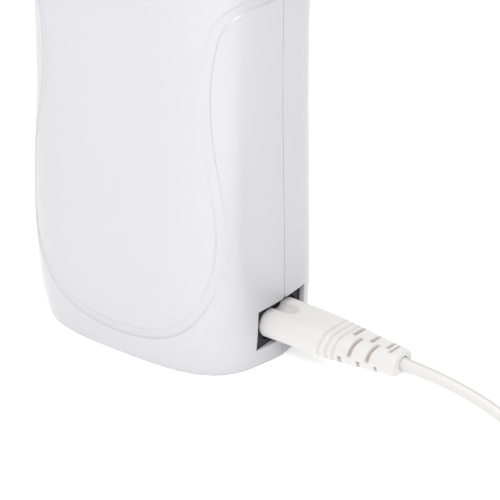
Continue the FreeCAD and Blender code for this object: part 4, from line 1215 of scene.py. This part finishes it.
def button_finish():
    return moulding("button", SHELL_COLOUR, 0.26, grain=0.003, Coat_Weight=0.3, Coat_Roughness=0.12)


def clear_finish():
    """Clear moulding: faint waves in an otherwise glassy surface."""
    finish = Finish("clear", Transmission_Weight=1.0, IOR=1.49)
    waves = finish.noise(45, 2)
    finish.set(
        Base_Color=finish.mix(waves, (0.57, 0.61, 0.62, 1), (0.62, 0.66, 0.67, 1)),
        Roughness=0.07 + 0.05 * finish.noise(260, 3),
    )
    finish.relief(waves, 0.02)
    return finish


def inlet_finish():
    return moulding("inlet", (0.008, 0.008, 0.009), 0.5, grain=0.01, flow=0.1, Specular_IOR_Level=0.25)


def connector_finish():
    """Soft moulding with painted shade in its grooves and slots: their colour passes towards a warm dark
    tone as they deepen, standing in for occlusion and light bounced between their walls.
    """
    finish = moulding("connector", CONNECTOR_COLOUR, 0.46, grain=0.008, grain_scale=1300)
    finish.set(Diffuse_Roughness=0.7)
    # The depth share paints shade into the grooves and slots, towards the slots' shade colour.
    cut = finish.node("ShaderNodeAttribute", {"attribute_name": "recess_shade"}, {}, "Fac")
    tone = finish.mix(finish.noise(34, 3), tint(CONNECTOR_COLOUR, 0.985), tint(CONNECTOR_COLOUR, 1.012))
    finish.set(Base_Color=finish.mix(cut * 0.8, tone, (*SLOT_SHADE_COLOUR, 1)))
    return finish


def cord_finish():
    return moulding("cord", CORD_COLOUR, 0.4, grain=0.01, grain_scale=700)


def tie_finish():
    """A woven band: fine ribs across it."""
    finish = moulding("tie", (0.26, 0.26, 0.27), 0.62)
    ribs = finish.noise(1500, 1, (1, 1, 0.12))
    finish.relief(ribs, 0.05)
    return finish


def well_finish():
    return moulding("well", (0.56, 0.55, 0.51), 0.55, grain=0.02, grain_scale=900, flow=0.03)


def aluminium_finish():
    return metal("aluminium", (0.78, 0.79, 0.81), 0.24, (1, 1, 0.03))


def ceramic_finish():
    """Unglazed ceramic: pale, with small dark specks and a rough, chalky face."""
    finish = Finish("ceramic")
    specks = finish.noise(1400, 3)
    stops = ((0.62, (0, 0, 0, 1)), (0.7, (1, 1, 1, 1)))
    mask = finish.node("ShaderNodeValToRGB", {"stops": stops}, {"Fac": specks})
    finish.set(
        Base_Color=finish.mix(mask, (0.66, 0.61, 0.52, 1), (0.3, 0.26, 0.22, 1)),
        Roughness=0.74 + 0.16 * specks,
    )
    finish.relief(specks, 0.03)
    return finish


def steel_finish():
    return metal("steel", (0.62, 0.63, 0.64), 0.2, (0.04, 1, 1))


def spring_finish():
    return metal("spring", (0.54, 0.55, 0.58), 0.24, (1, 1, 0.04))


def screw_finish():
    return metal("screw", (0.6, 0.61, 0.6), 0.26, (1, 1, 1), scale=2600, depth=0.006)


def sheet_finish():
    """Pressed fibre: long pale fibres over a warm grey."""
    finish = Finish("sheet")
    fibres = finish.noise(1100, 4, (0.12, 1, 0.35))
    finish.set(
        Base_Color=finish.mix(fibres, (0.42, 0.3, 0.17, 1), (0.66, 0.55, 0.38, 1)),
        Roughness=0.82 + 0.1 * fibres,
    )
    finish.relief(fibres, 0.06)
    return finish


def cutoff_finish():
    return metal("cutoff", (0.72, 0.66, 0.6), 0.3, (0.05, 1, 1))


def board_finish():
    """Solder mask: green, a little lighter over the square grid of its copper."""
    finish = Finish("board", Coat_Weight=0.4, Coat_Roughness=0.15)
    grid = finish.node("ShaderNodeTexBrick", {"offset": 0.5}, {
        "Vector": finish.stretched((1, 1, 1)),
        "Scale": 260.0,
        "Mortar Size": 0.06,
        "Color1": (0.02, 0.14, 0.05, 1),
        "Color2": (0.025, 0.17, 0.06, 1),
        "Mortar": (0.06, 0.26, 0.1, 1),
    }, "Color")
    cloud = finish.noise(300, 3)
    finish.set(
        Base_Color=finish.mix(0.2 * cloud, grid, (0.03, 0.2, 0.08, 1)),
        Roughness=0.32 + 0.12 * cloud,
    )
    finish.relief(finish.noise(1600, 2), 0.01)
    return finish


def black_part_finish():
    return moulding("black_part", (0.025, 0.025, 0.027), 0.5, grain=0.02, grain_scale=2400, flow=0.15)


def led_finish():
    return moulding("led", (0.62, 0.5, 0.26), 0.2, grain=0.002)


def lens_finish():
    """Clouded light pipe."""
    finish = Finish("lens", Transmission_Weight=0.7, IOR=1.49)
    cloud = finish.noise(900, 3)
    finish.set(
        Base_Color=finish.mix(cloud, (0.8, 0.84, 0.86, 1), (0.9, 0.93, 0.94, 1)),
        Roughness=0.22 + 0.2 * cloud,
    )
    finish.relief(cloud, 0.01)
    return finish


def pin_finish():
    return metal("pin", (0.74, 0.72, 0.68), 0.16, (0.05, 1, 1), depth=0.002)


def contact_finish():
    return metal("contact", (0.78, 0.6, 0.34), 0.24, (0.05, 1, 1))


def wire_finish(name, colour):
    """Wire insulation: soft, with faint marks where it was drawn."""
    return moulding(name, colour, 0.44, grain=0.008, grain_scale=1500, flow=0.05)


def make_finishes():
    """Every finish by the name of its slot."""
    made = [
        shell_finish(), button_finish(), clear_finish(), inlet_finish(), connector_finish(),
        cord_finish(), tie_finish(), well_finish(), aluminium_finish(), ceramic_finish(),
        steel_finish(), spring_finish(), screw_finish(), sheet_finish(), cutoff_finish(),
        board_finish(), black_part_finish(), led_finish(), lens_finish(), pin_finish(),
        contact_finish(),
        wire_finish("brown_wire", (0.12, 0.045, 0.02)),
        wire_finish("blue_wire", (0.02, 0.1, 0.42)),
        wire_finish("white_wire", (0.68, 0.67, 0.63)),
    ]
    return {finish.material.name.split(".")[0]: finish.material for finish in made}


def dress(pieces):
    """Give each node the finish of the slot that it came with, and each piece that of its own."""
    finishes = make_finishes()
    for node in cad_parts.values():
        for k, old in enumerate(node.data.materials):
            node.data.materials[k] = finishes[old.name.split(".")[0]]
    for piece, slot in pieces:
        piece.data.materials.append(finishes[slot])


# ---- camera, light and floor -------------------------------------------------------------


def towards(azimuth, elevation):
    """The direction that lies at an azimuth and an elevation, in degrees, from the object."""
    a, e = math.radians(azimuth), math.radians(elevation)
    return Vector((math.sin(a) * math.cos(e), -math.cos(a) * math.cos(e), math.sin(e)))


def add_softbox(name, azimuth, elevation, distance, size, power):
    """A square soft light that faces the object."""
    data = bpy.data.lights.new(name, "AREA")
    data.size = size
    data.energy = power
    box = bpy.data.objects.new(name, data)
    way = towards(azimuth, elevation)
    turn = way.to_track_quat("Z", "Y").to_matrix().to_4x4()
    box.matrix_world = Matrix.Translation(VIEW_TARGET + way * distance) @ turn
    bpy.context.scene.collection.objects.link(box)


def add_floor():
    """A white floor, wider than any view, that glows a little, as a light table does."""
    half = FLOOR_SIZE / 2
    mesh = bpy.data.meshes.new("floor")
    corners = [(-half, -half, 0), (half, -half, 0), (half, half, 0), (-half, half, 0)]
    mesh.from_pydata(corners, [], [(0, 1, 2, 3)])
    floor = bpy.data.objects.new("floor", mesh)
    bpy.context.scene.collection.objects.link(floor)
    paper = Finish("floor", Base_Color=(1, 1, 1, 1), Roughness=0.9, Specular_IOR_Level=0.0)
    paper.set(Emission_Color=(1, 1, 1, 1), Emission_Strength=FLOOR_GLOW)
    mesh.materials.append(paper.material)


def add_sky():
    """Even white light from all round."""
    world = bpy.data.worlds.new("sky")
    world.use_nodes = True
    sky = world.node_tree.nodes["Background"]
    sky.inputs["Color"].default_value = (1, 1, 1, 1)
    sky.inputs["Strength"].default_value = SKY_STRENGTH
    bpy.context.scene.world = world


def add_camera():
    """Place the camera beside the line from its target, and look along that line."""
    turn = towards(VIEW_AZIMUTH, VIEW_ELEVATION).to_track_quat("Z", "Y").to_matrix()
    shift = turn @ Vector((VIEW_RIGHT, -VIEW_DOWN, VIEW_DISTANCE))
    data = bpy.data.cameras.new("camera")
    data.lens = VIEW_LENS
    data.sensor_width = VIEW_SENSOR
    data.clip_start, data.clip_end = VIEW_CLIP
    camera = bpy.data.objects.new("camera", data)
    camera.matrix_world = Matrix.Translation(VIEW_TARGET + shift) @ turn.to_4x4()
    bpy.context.scene.collection.objects.link(camera)
    bpy.context.scene.camera = camera


add_camera()
connector = add_connector()
cord = add_cord()
front_skin, rear_skin = add_shells()
plate = add_inlet_plate()
dress([
    (cord, "cord"),
    (connector, "connector"),
    (front_skin, "shell"),
    (rear_skin, "shell"),
    (plate, "inlet"),
])
add_softbox("key_light", *KEY_LIGHT)
add_softbox("top_light", *TOP_LIGHT)
add_sky()
add_floor()
bpy.context.scene.view_settings.view_transform = "Standard"
